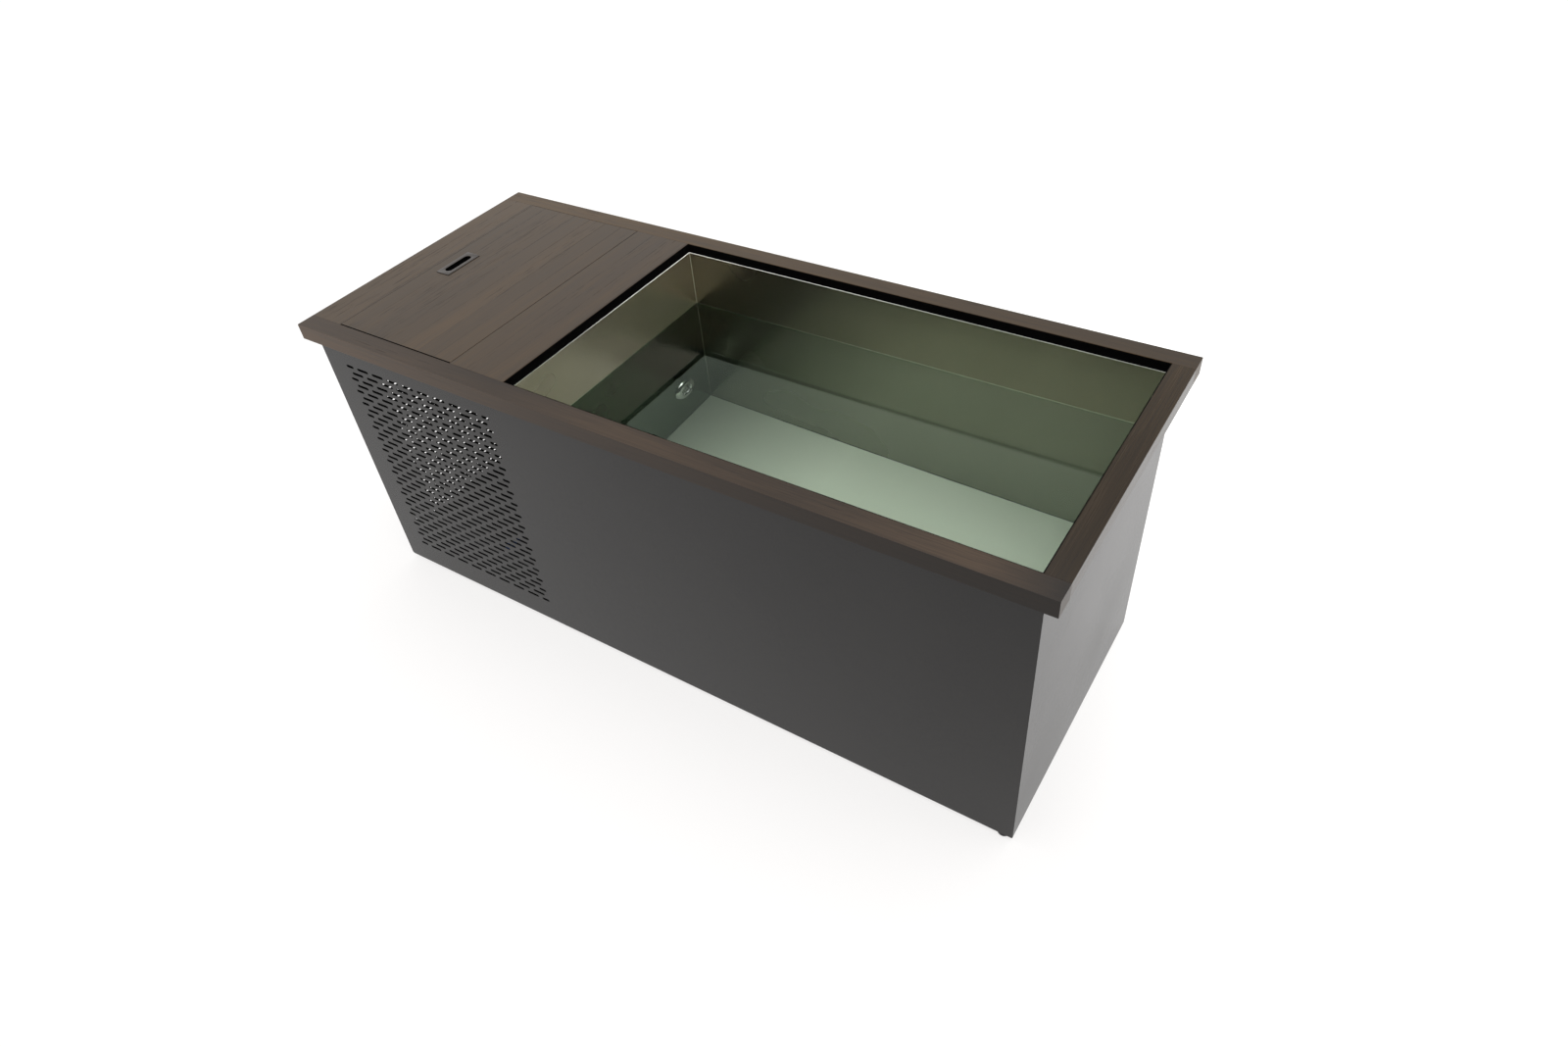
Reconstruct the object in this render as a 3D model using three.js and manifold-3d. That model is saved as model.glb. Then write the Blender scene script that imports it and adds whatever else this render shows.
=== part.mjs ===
// Cold plunge tub: powder-coated cabinet, timber deck, stainless tub, chiller bay under a hatch.
// Millimetres, +Z up. Origin on the floor under the middle of the timber deck.
// +X runs along the length towards the tub end, +Y towards the back; the slotted front panel faces -Y.
import * as THREE from 'three';
import { mergeVertices, mergeGeometries } from 'three/addons/utils/BufferGeometryUtils.js';
import Module from 'manifold-3d';

const wasm = await Module();
wasm.setup();

// ---------------------------------------------------------------- driving dimensions
const L = 1700, W = 687, H = 705;           // overall, over the timber deck
const DECK_T = 35;                          // timber thickness
const FX0 = -834, FX1 = 820;                // cabinet, outside faces of the end panels
const FY0 = -320, FY1 = 305;                // cabinet, outside faces of the front and back panels
const Z0 = 12;                              // cabinet's lower edge
const ZD = H - DECK_T;                      // underside of the timber
const GAP = 0.3;                            // between touching pieces
const SHEET = 2;                            // cabinet sheet
const FLANGE = 15;                          // folded return of a panel

const OPEN_X0 = -284.5, OPEN_X1 = 807.5, OPEN_Y = 301.7;   // opening in the timber
const TUB_X0 = -279.5, TUB_X1 = 802.5, TUB_Y = 296.7;   // tub, inside faces
const TUB_T = 2.5, TUB_FLOOR = 70, TUB_RIM = 686;       // tub sheet, floor, rim
const WELD = 0.05;                          // between the tub's sheets

const HATCH_X0 = -761, HATCH_X1 = -431.6;               // hatch lid
const HATCH_Y0 = -299.7, HATCH_Y1 = 300.7;
const LATCH_GAP = 0.8, HINGE_GAP = 1.4, UNDERCUT = 4;   // seams; the free edge is cut back underneath
const PULL_X = -717.3, PULL_Y = 3;                      // pull, centre
const PULL_W = 38, PULL_L = 99, SLOT_W = 19, SLOT_L = 74, PROUD = 1.2;

const GRILLE_X0 = -771, GRILLE_X1 = -339.5, GRILLE_Z0 = 76, GRILLE_Z1 = 612.5;
const GRILLE_ROWS = 17, GRILLE_COLS = 3, GRILLE_SLOT = 7;
const GRILLE_LEFT_Y0 = -223.3, GRILLE_LEFT_Y1 = 208.3;  // the left panel's grille, centred on the cabinet

const BASE_Z0 = 14.3, BASE_Z1 = 44.3, RAIL = 45, CROSS = 30;   // base rails and crossmembers, width
const PAN_Z1 = 46.6;                                    // top of the bay's floor pan
const FEET = { front_left: [-795, -284], front_right: [798, -305], back_left: [-795, 269], back_right: [798, 290] };

const BULK_X0 = -314, BULK_X1 = -312;                   // bulkhead
const SUCTION = [201, 214], RETURN = [-200, 400], DRAIN = [-262, 104];   // y, z on the tub's left wall

const PUMP = [-400, 115];                               // x, z of the pump's axis (along Y)
const FILTER = [-530, 20];                              // x, y
const EXCH = [-450, 230];                               // x, y
const COMP = [-600, 190];                               // x, y
const FAN = [165, 220], FAN_R = 78;                     // y, z of the fan's axis (along X)
const VALVE_X = -500;
const CTRL = { x0: -384, x1: BULK_X0 - 0.6, y: 100, z0: 540, z1: 640, t: 3 };
const INLET = [-600, 110];                              // x, z on the back panel

// ---------------------------------------------------------------- helpers
const group = new THREE.Group();

function solid(geometry) {
  const g = geometry.clone();
  g.deleteAttribute('normal');
  g.deleteAttribute('uv');
  const m = mergeVertices(g, 1e-4);
  return new wasm.Manifold(new wasm.Mesh({
    numProp: 3,
    vertProperties: new Float32Array(m.attributes.position.array),
    triVerts: new Uint32Array(m.index.array),
  }));
}

function shape(manifold) {
  const m = manifold.getMesh();
  const g = new THREE.BufferGeometry();
  g.setAttribute('position', new THREE.BufferAttribute(new Float32Array(m.vertProperties), 3));
  g.setIndex(new THREE.BufferAttribute(new Uint32Array(m.triVerts), 1));
  return g;
}

function boxGeo(x0, x1, y0, y1, z0, z1) {
  return new THREE.BoxGeometry(x1 - x0, y1 - y0, z1 - z0)
    .translate((x0 + x1) / 2, (y0 + y1) / 2, (z0 + z1) / 2);
}
const box = (...a) => solid(boxGeo(...a));

// turn a shape made along Y so that it runs along the named axis
function along(geometry, axis) {
  if (axis === 'x') geometry.rotateZ(-Math.PI / 2);     // +Y -> +X
  if (axis === 'z') geometry.rotateX(Math.PI / 2);      // +Y -> +Z
  return geometry;
}

// cylinder along an axis; c is the point on the axis at the low end
function cylGeo(axis, c, r, len, seg = 20) {
  const g = new THREE.CylinderGeometry(r, r, len, seg).translate(0, len / 2, 0);
  return along(g, axis).translate(c[0], c[1], c[2]);
}
const cyl = (...a) => solid(cylGeo(...a));

// turned piece; profile is [radius, distance along axis], measured from c, closed on the axis
// or, for a ring, back to its first point
function lathe(axis, c, profile, seg = 20) {
  const g = new THREE.LatheGeometry(profile.map(([r, d]) => new THREE.Vector2(r, d)), seg);
  let s = solid(along(g, axis).translate(c[0], c[1], c[2]));
  return s;
}

// tube through way-points with rounded corners
function tubeGeo(points, r, bend, steps, sides, bore = 0) {
  const P = points.map((p) => new THREE.Vector3(...p));
  const path = new THREE.CurvePath();
  let from = P[0];
  for (let i = 1; i < P.length - 1; i++) {
    const a = P[i - 1].clone().sub(P[i]), b = P[i + 1].clone().sub(P[i]);
    const d = Math.min(bend, a.length() / 2, b.length() / 2);
    const s = P[i].clone().add(a.setLength(d)), e = P[i].clone().add(b.setLength(d));
    if (from.distanceTo(s) > 1e-3) path.add(new THREE.LineCurve3(from, s));
    path.add(new THREE.QuadraticBezierCurve3(s, P[i], e));
    from = e;
  }
  if (from.distanceTo(P[P.length - 1]) > 1e-3) path.add(new THREE.LineCurve3(from, P[P.length - 1]));
  const ring = (rad) => Array.from({ length: sides }, (_, i) =>
    new THREE.Vector2(rad * Math.cos(2 * Math.PI * i / sides), rad * Math.sin(2 * Math.PI * i / sides)));
  const section = new THREE.Shape(ring(r));
  if (bore > 0) section.holes.push(new THREE.Path(ring(bore)));
  return new THREE.ExtrudeGeometry(section, { steps, extrudePath: path, bevelEnabled: false, curveSegments: 1 });
}

function add(name, body, color, roughness, metalness) {
  const geometry = body instanceof THREE.BufferGeometry ? body : shape(body);
  const mesh = new THREE.Mesh(geometry, new THREE.MeshStandardMaterial({ color, roughness, metalness }));
  mesh.name = name;
  group.add(mesh);
}

const CHARCOAL = [0x4a4747, 0.5, 0.2], TIMBER = [0x5a4c43, 0.6, 0], STEEL = [0x9a9a90, 0.3, 1];
const RUBBER = [0x0b0b0b, 0.7, 0], FOAM = [0xb9b4a2, 0.9, 0], ZINC = [0x8d9093, 0.45, 0.9];
const PIPE = [0x3b3d3f, 0.5, 0], BLACK = [0x151515, 0.5, 0], COPPER = [0xb06a42, 0.35, 1];
const CHROME = [0xc8cacb, 0.15, 1], PAINT = [0x1b1c1e, 0.45, 0.1], GREY = [0x4e5052, 0.5, 0];

// ---------------------------------------------------------------- base
const RAIL_Y = [FY0 + 5, FY1 - 5 - RAIL];               // near edge of each long rail
for (const [name, i] of [['front', 0], ['back', 1]]) {
  let rail = box(FX0 + 4, FX1 - 4, RAIL_Y[i], RAIL_Y[i] + RAIL, BASE_Z0, BASE_Z1);
  for (const end of ['_left', '_right']) rail = rail.subtract(cyl('z', [...FEET[name + end], BASE_Z0 - 5], 5.9, 50, 12));
  add('base_rail_' + name, rail, ...ZINC);
}
add('base_crossmember', boxGeo(784, 784 + CROSS, RAIL_Y[0] + RAIL + GAP, RAIL_Y[1] - GAP, BASE_Z0, BASE_Z1), ...ZINC);
add('base_pan', box(FX0 + 5, -316, FY0 + 7, FY1 - 7, BASE_Z1 + GAP, PAN_Z1)
  .add(box(FX0 + 5, FX0 + 7, RAIL_Y[0] + RAIL + 1, RAIL_Y[1] - 1, 20, BASE_Z1 + 1)), ...ZINC);

// screw feet: pad, neck and stud
for (const [name, [x, y]] of Object.entries(FEET)) {
  add('foot_' + name, lathe('z', [x, y, 0],
    [[0, 0], [11.5, 0], [13, 2], [13, 7], [8, 9], [8, 13.8], [5, 13.8], [5, 40], [0, 40]], 12), ...RUBBER);
}

// ---------------------------------------------------------------- cabinet panels
const ZT = ZD - GAP;                        // top of the cabinet sheet
function slots(u0, u1, make) {
  const cells = [], pitch = (GRILLE_Z1 - GRILLE_Z0) / GRILLE_ROWS, step = (u1 - u0 + 14) / GRILLE_COLS;
  for (let r = 0; r < GRILLE_ROWS; r++) for (let c = 0; c < GRILLE_COLS; c++) {
    const z = GRILLE_Z0 + (r + 0.5) * pitch, u = u0 + c * step;
    cells.push(make(u, u + step - 14, z - GRILLE_SLOT / 2, z + GRILLE_SLOT / 2));
  }
  return solid(mergeGeometries(cells));
}
function longPanel(face, inward, tubReturn) {   // front or back: outside face, direction inwards
  const y = (a, b) => [Math.min(face + inward * a, face + inward * b), Math.max(face + inward * a, face + inward * b)];
  let p = box(FX0, FX1, ...y(0, SHEET), Z0, ZT)
    .add(box(FX0 + 19, BULK_X0 - 2, ...y(SHEET - 1, 30), ZT - SHEET, ZT))   // wide return carries the hatch's edge
    .add(box(FX0 + 52, FX1 - 52, ...y(SHEET - 1, SHEET + FLANGE), Z0, Z0 + SHEET));
  if (tubReturn) p = p.add(box(BULK_X0 - 3, FX1 - 18, ...y(SHEET - 1, SHEET + FLANGE), ZT - SHEET, ZT));
  return p;
}
function endPanel(face, inward) {           // left or right: outside face, direction inwards
  const x = (a, b) => [Math.min(face + inward * a, face + inward * b), Math.max(face + inward * a, face + inward * b)];
  const ret = x(SHEET - 1, SHEET + FLANGE - (inward < 0 ? 4 : 0)), y0 = FY0 + SHEET + GAP, y1 = FY1 - SHEET - GAP;
  return box(...x(0, SHEET), y0, y1, Z0, ZT)
    .add(box(...ret, y0 + 16, y1 - 16, ZT - SHEET, ZT))
    .add(box(...ret, y0 + 36, y1 - 36, Z0, Z0 + SHEET))
    .add(box(...ret, y0, y0 + SHEET, 16, 662))
    .add(box(...ret, y1 - SHEET, y1, 16, 662));
}
add('front_panel', longPanel(FY0, 1, true).subtract(
  slots(GRILLE_X0, GRILLE_X1, (a, b, z0, z1) => boxGeo(a, b, FY0 - 3, FY0 + 5, z0, z1))), ...CHARCOAL);
add('back_panel', longPanel(FY1, -1, false).subtract(
  box(INLET[0] - 22.6, INLET[0] + 22.6, FY1 - 8, FY1 + 5, INLET[1] - 12.6, INLET[1] + 12.6)), ...CHARCOAL);
add('left_panel', endPanel(FX0, 1)
  .subtract(slots(GRILLE_LEFT_Y0, GRILLE_LEFT_Y1, (a, b, z0, z1) => boxGeo(FX0 - 3, FX0 + 5, a, b, z0, z1)))
  .subtract(cyl('x', [FX0 - 5, DRAIN[0], DRAIN[1]], 17, 15, 16)), ...CHARCOAL);
add('right_panel', endPanel(FX1, -1), ...CHARCOAL);

const wallHole = (c, r, x0, x1) => cyl('x', [x0, c[0], c[1]], r, x1 - x0, 16);
let bulkhead = box(BULK_X0, BULK_X1, FY0 + 7, FY1 - 7, 47, 662);
for (const [c, r] of [[SUCTION, 25], [RETURN, 21], [DRAIN, 19]]) bulkhead = bulkhead.subtract(wallHole(c, r, -325, -300));
add('bulkhead', bulkhead, ...ZINC);

// ---------------------------------------------------------------- tub, foam and gasket
const tubEnd = (x0) => box(x0, x0 + TUB_T, -TUB_Y - TUB_T, TUB_Y + TUB_T, TUB_FLOOR + WELD, TUB_RIM);
const tubSide = (y0) => box(TUB_X0 + WELD, TUB_X1 - WELD, y0, y0 + TUB_T, TUB_FLOOR + WELD, TUB_RIM);
let leftWall = tubEnd(TUB_X0 - TUB_T);
let foam = box(BULK_X1 + GAP, FX1 - SHEET - 3, FY0 + 5, FY1 - SHEET - 2.5, BASE_Z1 + GAP, 663)
  .subtract(box(TUB_X0 - TUB_T - GAP, TUB_X1 + TUB_T + GAP, -TUB_Y - TUB_T - GAP, TUB_Y + TUB_T + GAP, TUB_FLOOR - TUB_T - GAP, 700));
for (const [c, r] of [[SUCTION, 25], [RETURN, 21], [DRAIN, 19]]) {
  leftWall = leftWall.subtract(wallHole(c, r - 2, -290, -270));
  foam = foam.subtract(wallHole(c, r, -320, -270));
}
add('tub_floor', box(TUB_X0 - TUB_T, TUB_X1 + TUB_T, -TUB_Y - TUB_T, TUB_Y + TUB_T, TUB_FLOOR - TUB_T, TUB_FLOOR), ...STEEL);
add('tub_left_wall', leftWall, ...STEEL);
add('tub_right_wall', tubEnd(TUB_X1), ...STEEL);
add('tub_front_wall', tubSide(-TUB_Y - TUB_T), ...STEEL);
add('tub_back_wall', tubSide(TUB_Y), ...STEEL);
add('insulation_jacket', foam, ...FOAM);

const ringBox = (dx0, dx1, dy, inX0, inX1, inY, z0, z1) =>
  box(dx0, dx1, -dy, dy, z0, z1).subtract(box(inX0, inX1, -inY, inY, z0 - 5, z1 + 5));
add('rim_gasket',
  ringBox(OPEN_X0 + GAP, OPEN_X1 - GAP, OPEN_Y - GAP, TUB_X0 - TUB_T - GAP, TUB_X1 + TUB_T + GAP, TUB_Y + TUB_T + GAP, ZD + 0.5, H - 0.8), ...RUBBER);

// ---------------------------------------------------------------- timber deck
const IN_Y = OPEN_Y - GAP;
add('deck_front_rail', boxGeo(-L / 2, L / 2, -W / 2, -OPEN_Y, ZD, H), ...TIMBER);
add('deck_back_rail', boxGeo(-L / 2, L / 2, OPEN_Y, W / 2, ZD, H), ...TIMBER);
add('deck_left_board', boxGeo(-L / 2, HATCH_X0 - LATCH_GAP, -IN_Y, IN_Y, ZD, H), ...TIMBER);
add('deck_right_board', boxGeo(OPEN_X1, L / 2, -IN_Y, IN_Y, ZD, H), ...TIMBER);

// concealed hinge let into the facing edges of the lid and the middle board
const HINGE_Y = 150, HINGE_Z0 = 680, HINGE_Z1 = 696, HINGE_D = 20;
const MID_X0 = HATCH_X1 + HINGE_GAP;
const pocket = (x0, x1) => box(x0, x1, -HINGE_Y - GAP, HINGE_Y + GAP, HINGE_Z0 - GAP, HINGE_Z1 + GAP);
add('deck_mid_board', box(MID_X0, OPEN_X0, -IN_Y, IN_Y, ZD, H).subtract(pocket(MID_X0 - 5, MID_X0 + HINGE_D + GAP)), ...TIMBER);
add('hatch_hinge_fixed', boxGeo(MID_X0 - 0.4, MID_X0 + HINGE_D, -HINGE_Y, HINGE_Y, HINGE_Z0, HINGE_Z1), ...STEEL);
add('hatch_hinge_moving', boxGeo(HATCH_X1 - HINGE_D, HATCH_X1 + 0.4, -HINGE_Y, HINGE_Y, HINGE_Z0, HINGE_Z1), ...STEEL);

// hatch lid with the pull let in from the top
const PZ = 684;                             // bottom of the pull's cup
const CUP_W = SLOT_W / 2 + 4, CUP_L = SLOT_L / 2 + 5;   // half width and length of the cup, outside
const lidSection = new THREE.Shape([[HATCH_X0, H], [HATCH_X0, H - 8], [HATCH_X0 + UNDERCUT, ZD], [HATCH_X1, ZD], [HATCH_X1, H]]
  .map(([x, z]) => new THREE.Vector2(x, z)));
const lidBlank = new THREE.ExtrudeGeometry(lidSection, { depth: HATCH_Y1 - HATCH_Y0, bevelEnabled: false })
  .rotateX(Math.PI / 2).translate(0, HATCH_Y1, 0);
add('hatch_lid', solid(lidBlank)
  .subtract(pocket(HATCH_X1 - HINGE_D - GAP, HATCH_X1 + 5))
  .subtract(box(PULL_X - PULL_W / 2 - GAP, PULL_X + PULL_W / 2 + GAP, PULL_Y - PULL_L / 2 - GAP, PULL_Y + PULL_L / 2 + GAP, H - 2.3, H + 5))
  .subtract(box(PULL_X - CUP_W - GAP, PULL_X + CUP_W + GAP, PULL_Y - CUP_L - GAP, PULL_Y + CUP_L + GAP, PZ - GAP, H + 5)), ...TIMBER);
for (const [name, y] of [['front', -170], ['back', 170]])
  add('hatch_batten_' + name, boxGeo(HATCH_X0 + 16, HATCH_X1 - 17, y - 22, y + 22, ZD - 18, ZD - GAP), ...TIMBER);
add('hatch_pull', box(PULL_X - PULL_W / 2, PULL_X + PULL_W / 2, PULL_Y - PULL_L / 2, PULL_Y + PULL_L / 2, H - 2, H + PROUD)
  .add(box(PULL_X - CUP_W, PULL_X + CUP_W, PULL_Y - CUP_L, PULL_Y + CUP_L, PZ, H - 1))
  .subtract(box(PULL_X - CUP_W + 2, PULL_X + CUP_W - 2, PULL_Y - CUP_L + 2, PULL_Y + CUP_L - 2, PZ + 2, H - 1))
  .subtract(box(PULL_X - SLOT_W / 2, PULL_X + SLOT_W / 2, PULL_Y - SLOT_L / 2 + SLOT_W / 2, PULL_Y + SLOT_L / 2 - SLOT_W / 2, H - 10, H + 5)
    .add(cyl('z', [PULL_X, PULL_Y - SLOT_L / 2 + SLOT_W / 2, H - 10], SLOT_W / 2, 15, 16))
    .add(cyl('z', [PULL_X, PULL_Y + SLOT_L / 2 - SLOT_W / 2, H - 10], SLOT_W / 2, 15, 16))), ...BLACK);

// ---------------------------------------------------------------- fittings through the tub's left wall
// profile runs along +X from the bay end; ring section, bore open from end to end
const IN_X = TUB_X0 + GAP;                  // face against the tub
const END_X = -330;                         // bay end of each fitting
const len = IN_X - END_X;
function fitting(c, body, flange, bore, proud) {
  return lathe('x', [END_X, c[0], c[1]], [
    [bore, 0], [body, 0], [body, len], [flange, len], [flange, len + 3], [flange - 5, len + proud],
    [bore, len + proud], [bore, 0]], 20);
}
let grate = solid(cylGeo('x', [IN_X + 4, ...SUCTION], 17.5, 3, 20));
for (const dy of [-10, -5, 0, 5, 10]) grate = grate.subtract(box(IN_X, IN_X + 10, SUCTION[0] + dy - 1.2, SUCTION[0] + dy + 1.2, SUCTION[1] - 11, SUCTION[1] + 11));
add('suction_fitting', fitting(SUCTION, 20, 36, 16, 9).add(grate), ...CHROME);
add('return_nozzle', fitting(RETURN, 17, 30, 10, 12), ...CHROME);
add('drain_fitting', fitting(DRAIN, 15, 25, 11, 5), ...CHROME);

// ---------------------------------------------------------------- pump (axis along Y, motor to the front)
const PY = -100;                            // plane between volute and motor
const [PX, PZC] = PUMP;
add('pump_volute', lathe('y', [PX, PY + GAP, PZC], [[0, 0], [55, 0], [55, 38], [40, 44], [18, 44], [18, 60], [0, 60]], 20)
  .add(cyl('z', [PX, PY + 20, PZC + 30], 15, 42, 16))
  .subtract(cyl('y', [PX, PY + 6, PZC], 46, 28, 20))
  .subtract(cyl('y', [PX, PY + 30, PZC], 12, 40, 16))
  .subtract(cyl('y', [PX, PY - 5, PZC], 8, 20, 16))
  .subtract(cyl('z', [PX, PY + 20, PZC + 20], 10, 60, 16)), ...PAINT);
add('pump_motor', lathe('y', [PX, PY - 122, PZC], [[0, 0], [40, 0], [46, 8], [46, 112], [50, 112], [50, 122], [0, 122]], 20)
  .add(box(PX - 45, PX + 45, PY - 100, PY - 30, PAN_Z1 + GAP, PAN_Z1 + 5))
  .add(box(PX - 28, PX + 28, PY - 95, PY - 35, PAN_Z1 + 2, PZC - 30))
  .subtract(cyl('y', [PX, PY - 12, PZC], 8, 20, 16)), ...PAINT);
let impeller = cyl('y', [PX, PY + 8, PZC], 42, 4, 20).add(cyl('y', [PX, PY - 10, PZC], 6, 40, 16));
for (let i = 0; i < 5; i++) {
  const v = new THREE.BoxGeometry(30, 12, 3).translate(23, 0, 0).rotateY(i * 2 * Math.PI / 5 + 0.3).translate(PX, PY + 17, PZC);
  impeller = impeller.add(solid(v));
}
add('pump_impeller', impeller, ...BLACK);

// ---------------------------------------------------------------- filter
const [FX, FY] = FILTER;
add('filter_housing', lathe('z', [FX, FY, PAN_Z1 + GAP], [
  [0, 0], [58, 0], [60, 4], [60, 383], [66, 383], [66, 393], [55, 393], [55, 8], [0, 8]], 20)
  .add(cyl('x', [FX + 57.5, FY, 380], 14, 17, 16)).subtract(cyl('x', [FX + 45, FY, 380], 10, 40, 16))
  .add(cyl('x', [FX + 57.5, FY, 90], 14, 17, 16)).subtract(cyl('x', [FX + 45, FY, 90], 10, 40, 16)), ...GREY);
const CAPZ = PAN_Z1 + GAP + 393 + GAP;
add('filter_cap', lathe('z', [FX, FY, CAPZ], [[0, 0], [68, 0], [68, 22], [60, 26], [0, 26]], 20)
  .add(cyl('z', [FX, FY, CAPZ - 14], 54, 15, 20))
  .add(box(FX - 48, FX + 48, FY - 7, FY + 7, CAPZ + 24, CAPZ + 46)), ...BLACK);
add('filter_cartridge', lathe('z', [FX, FY, PAN_Z1 + GAP + 8 + GAP], [
  [14, 0], [42, 0], [42, 360], [14, 360], [14, 0]], 20), 0xdfe3e4, 0.9, 0);

// ---------------------------------------------------------------- heat exchanger and compressor
const [EX, EY] = EXCH;
add('heat_exchanger', lathe('z', [EX, EY, PAN_Z1 + GAP], [
  [0, 0], [60, 0], [60, 6], [68, 10], [68, 318], [50, 330], [0, 334]], 20)
  .add(cyl('y', [EX, EY - 82, 90], 14, 30, 16)).add(cyl('y', [EX, EY - 82, 340], 14, 30, 16)), ...BLACK);
const [KX, KY] = COMP;
add('compressor', lathe('z', [KX, KY, PAN_Z1 + 14], [
  [0, 0], [45, 0], [60, 8], [64, 20], [64, 175], [58, 192], [36, 204], [0, 208]], 20)
  .add(box(KX - 78, KX + 78, KY - 78, KY + 78, PAN_Z1 + 12, PAN_Z1 + 15.5))
  .add(cyl('z', [KX - 66, KY - 66, PAN_Z1 + GAP], 9, 14, 12)).add(cyl('z', [KX + 66, KY - 66, PAN_Z1 + GAP], 9, 14, 12))
  .add(cyl('z', [KX - 66, KY + 66, PAN_Z1 + GAP], 9, 14, 12)).add(cyl('z', [KX + 66, KY + 66, PAN_Z1 + GAP], 9, 14, 12)), ...PAINT);

// ---------------------------------------------------------------- condenser, shroud with the motor, fan (axis along X)
const [NY, NZ] = FAN;
add('condenser_coil', box(-812, -772, 32, 298, 64, 376).add(box(-814, -770.5, 30, 34, 60, 380)).add(box(-814, -770.5, 296, 300, 60, 380))
  .add(box(-814, -770.5, 30, 300, PAN_Z1 + GAP, 66)).add(box(-814, -770.5, 30, 300, 374, 380)), ...ZINC);
let shroud = box(-770.2, -738, 30, 300, PAN_Z1 + GAP, 380).subtract(cyl('x', [-760, NY, NZ], FAN_R + 4, 30, 32))
  .subtract(box(-775, -759, 40, 290, 66, 370))
  .add(lathe('x', [-736.5, NY, NZ], [[0, -13], [4, -13], [4, 0], [34, 0], [34, 50], [28, 56], [0, 56]], 20));
for (let i = 0; i < 3; i++) {               // arms that carry the motor
  const a = new THREE.BoxGeometry(5, 10, 82).translate(0, 0, 64).rotateX(i * 2 * Math.PI / 3 + 0.5).translate(-736, NY, NZ);
  shroud = shroud.add(solid(a));
}
add('fan_shroud', shroud, ...BLACK);
let fan = cyl('x', [-757, NY, NZ], 26, 16, 20);
for (let i = 0; i < 5; i++) {
  const b = new THREE.BoxGeometry(2.4, 34, 56).rotateZ(0.42).translate(0, 0, 49).rotateX(i * 2 * Math.PI / 5)
    .translate(-749, NY, NZ);
  fan = fan.add(solid(b));
}
add('fan_blades', fan.intersect(cyl('x', [-780, NY, NZ], FAN_R, 60, 32)).subtract(cyl('x', [-750, NY, NZ], 5, 20, 16)), ...BLACK);

// ---------------------------------------------------------------- water pipes (hollow)
const S = 8;
add('suction_pipe', solid(tubeGeo([[END_X - GAP, ...SUCTION], [-352, ...SUCTION], [-352, 120, 218], [PX, 50, PZC], [PX, PY + 60.6 + GAP, PZC]], 14, 22, 14, S, 11)), ...PIPE);
add('filter_feed_pipe', solid(tubeGeo([[PX, PY + 20, PZC + 72 + GAP], [PX, PY + 20, 330], [FX + 110, FY - 30, 380], [FX + 100, FY, 380], [FX + 74.5 + GAP, FY, 380]], 12, 30, 13, S, 9)), ...PIPE);
add('exchanger_feed_pipe', solid(tubeGeo([[FX + 74.5 + GAP, FY, 90], [EX + 18, FY, 90], [EX + 18, FY + 60, 90], [EX, EY - 110, 90], [EX, EY - 82 - GAP, 90]], 11, 20, 11, S, 8)), ...PIPE);
add('return_pipe', solid(tubeGeo([[EX, EY - 82 - GAP, 340], [EX, EY - 115, 340], [-375, 40, 400], [-354, -120, 400], [-354, RETURN[0], 400], [END_X - GAP, ...RETURN]], 12, 22, 16, S, 9)), ...PIPE);

// ---------------------------------------------------------------- drain: valve, lever, outlet (straight run along X)
add('drain_valve_body', lathe('x', [VALVE_X - 34, ...DRAIN], [
  [9, 0], [17, 0], [17, 12], [22, 16], [22, 52], [17, 56], [17, 68], [15, 68], [15, END_X - GAP - VALVE_X + 34], [11, END_X - GAP - VALVE_X + 34], [9, 68], [9, 0]], 16)
  .add(cyl('z', [VALVE_X, DRAIN[0], DRAIN[1] + 15], 8, 12, 16)), ...BLACK);
const LZ = DRAIN[1] + 27 + GAP;
add('drain_valve_lever', cyl('z', [VALVE_X, DRAIN[0], LZ], 11, 8, 20)
  .add(box(VALVE_X - 6, VALVE_X + 6, DRAIN[0] + 2, DRAIN[0] + 74, LZ + 3, LZ + 7)), 0x1f4f8a, 0.5, 0);
add('drain_outlet', lathe('x', [-846, ...DRAIN], [
  [9, 0], [13, 0], [14.5, 3], [12.5, 8], [14.5, 11], [12.5, 16], [13, 20], [13, 846 + VALVE_X - 34 - GAP], [9, 846 + VALVE_X - 34 - GAP], [9, 0]], 16), ...BLACK);

// ---------------------------------------------------------------- refrigerant pipes
add('discharge_pipe', solid(tubeGeo([[KX, KY, PAN_Z1 + 222 + GAP], [KX, KY, 340], [-640, 215, 410], [-770, 265, 430], [-792, 270, 420], [-792, 270, 380 + GAP]], 5, 30, 13, 8)), ...COPPER);
add('liquid_pipe', solid(tubeGeo([[-792, 60, 380 + GAP], [-792, 60, 425], [-740, 90, 435], [-600, 110, 435], [-500, 180, 435], [EX, EY, 425], [EX, EY, PAN_Z1 + 334 + 0.6]], 4, 30, 16, 8)), ...COPPER);
add('suction_gas_pipe', solid(tubeGeo([[EX + 22, EY + 22, PAN_Z1 + 334 + 0.6], [EX + 22, EY + 22, 410], [-470, 258, 424], [-560, 232, 395], [KX + 26, KY + 26, 340], [KX + 26, KY + 26, PAN_Z1 + 222 + GAP]], 6, 30, 14, 8)), ...COPPER);

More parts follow.
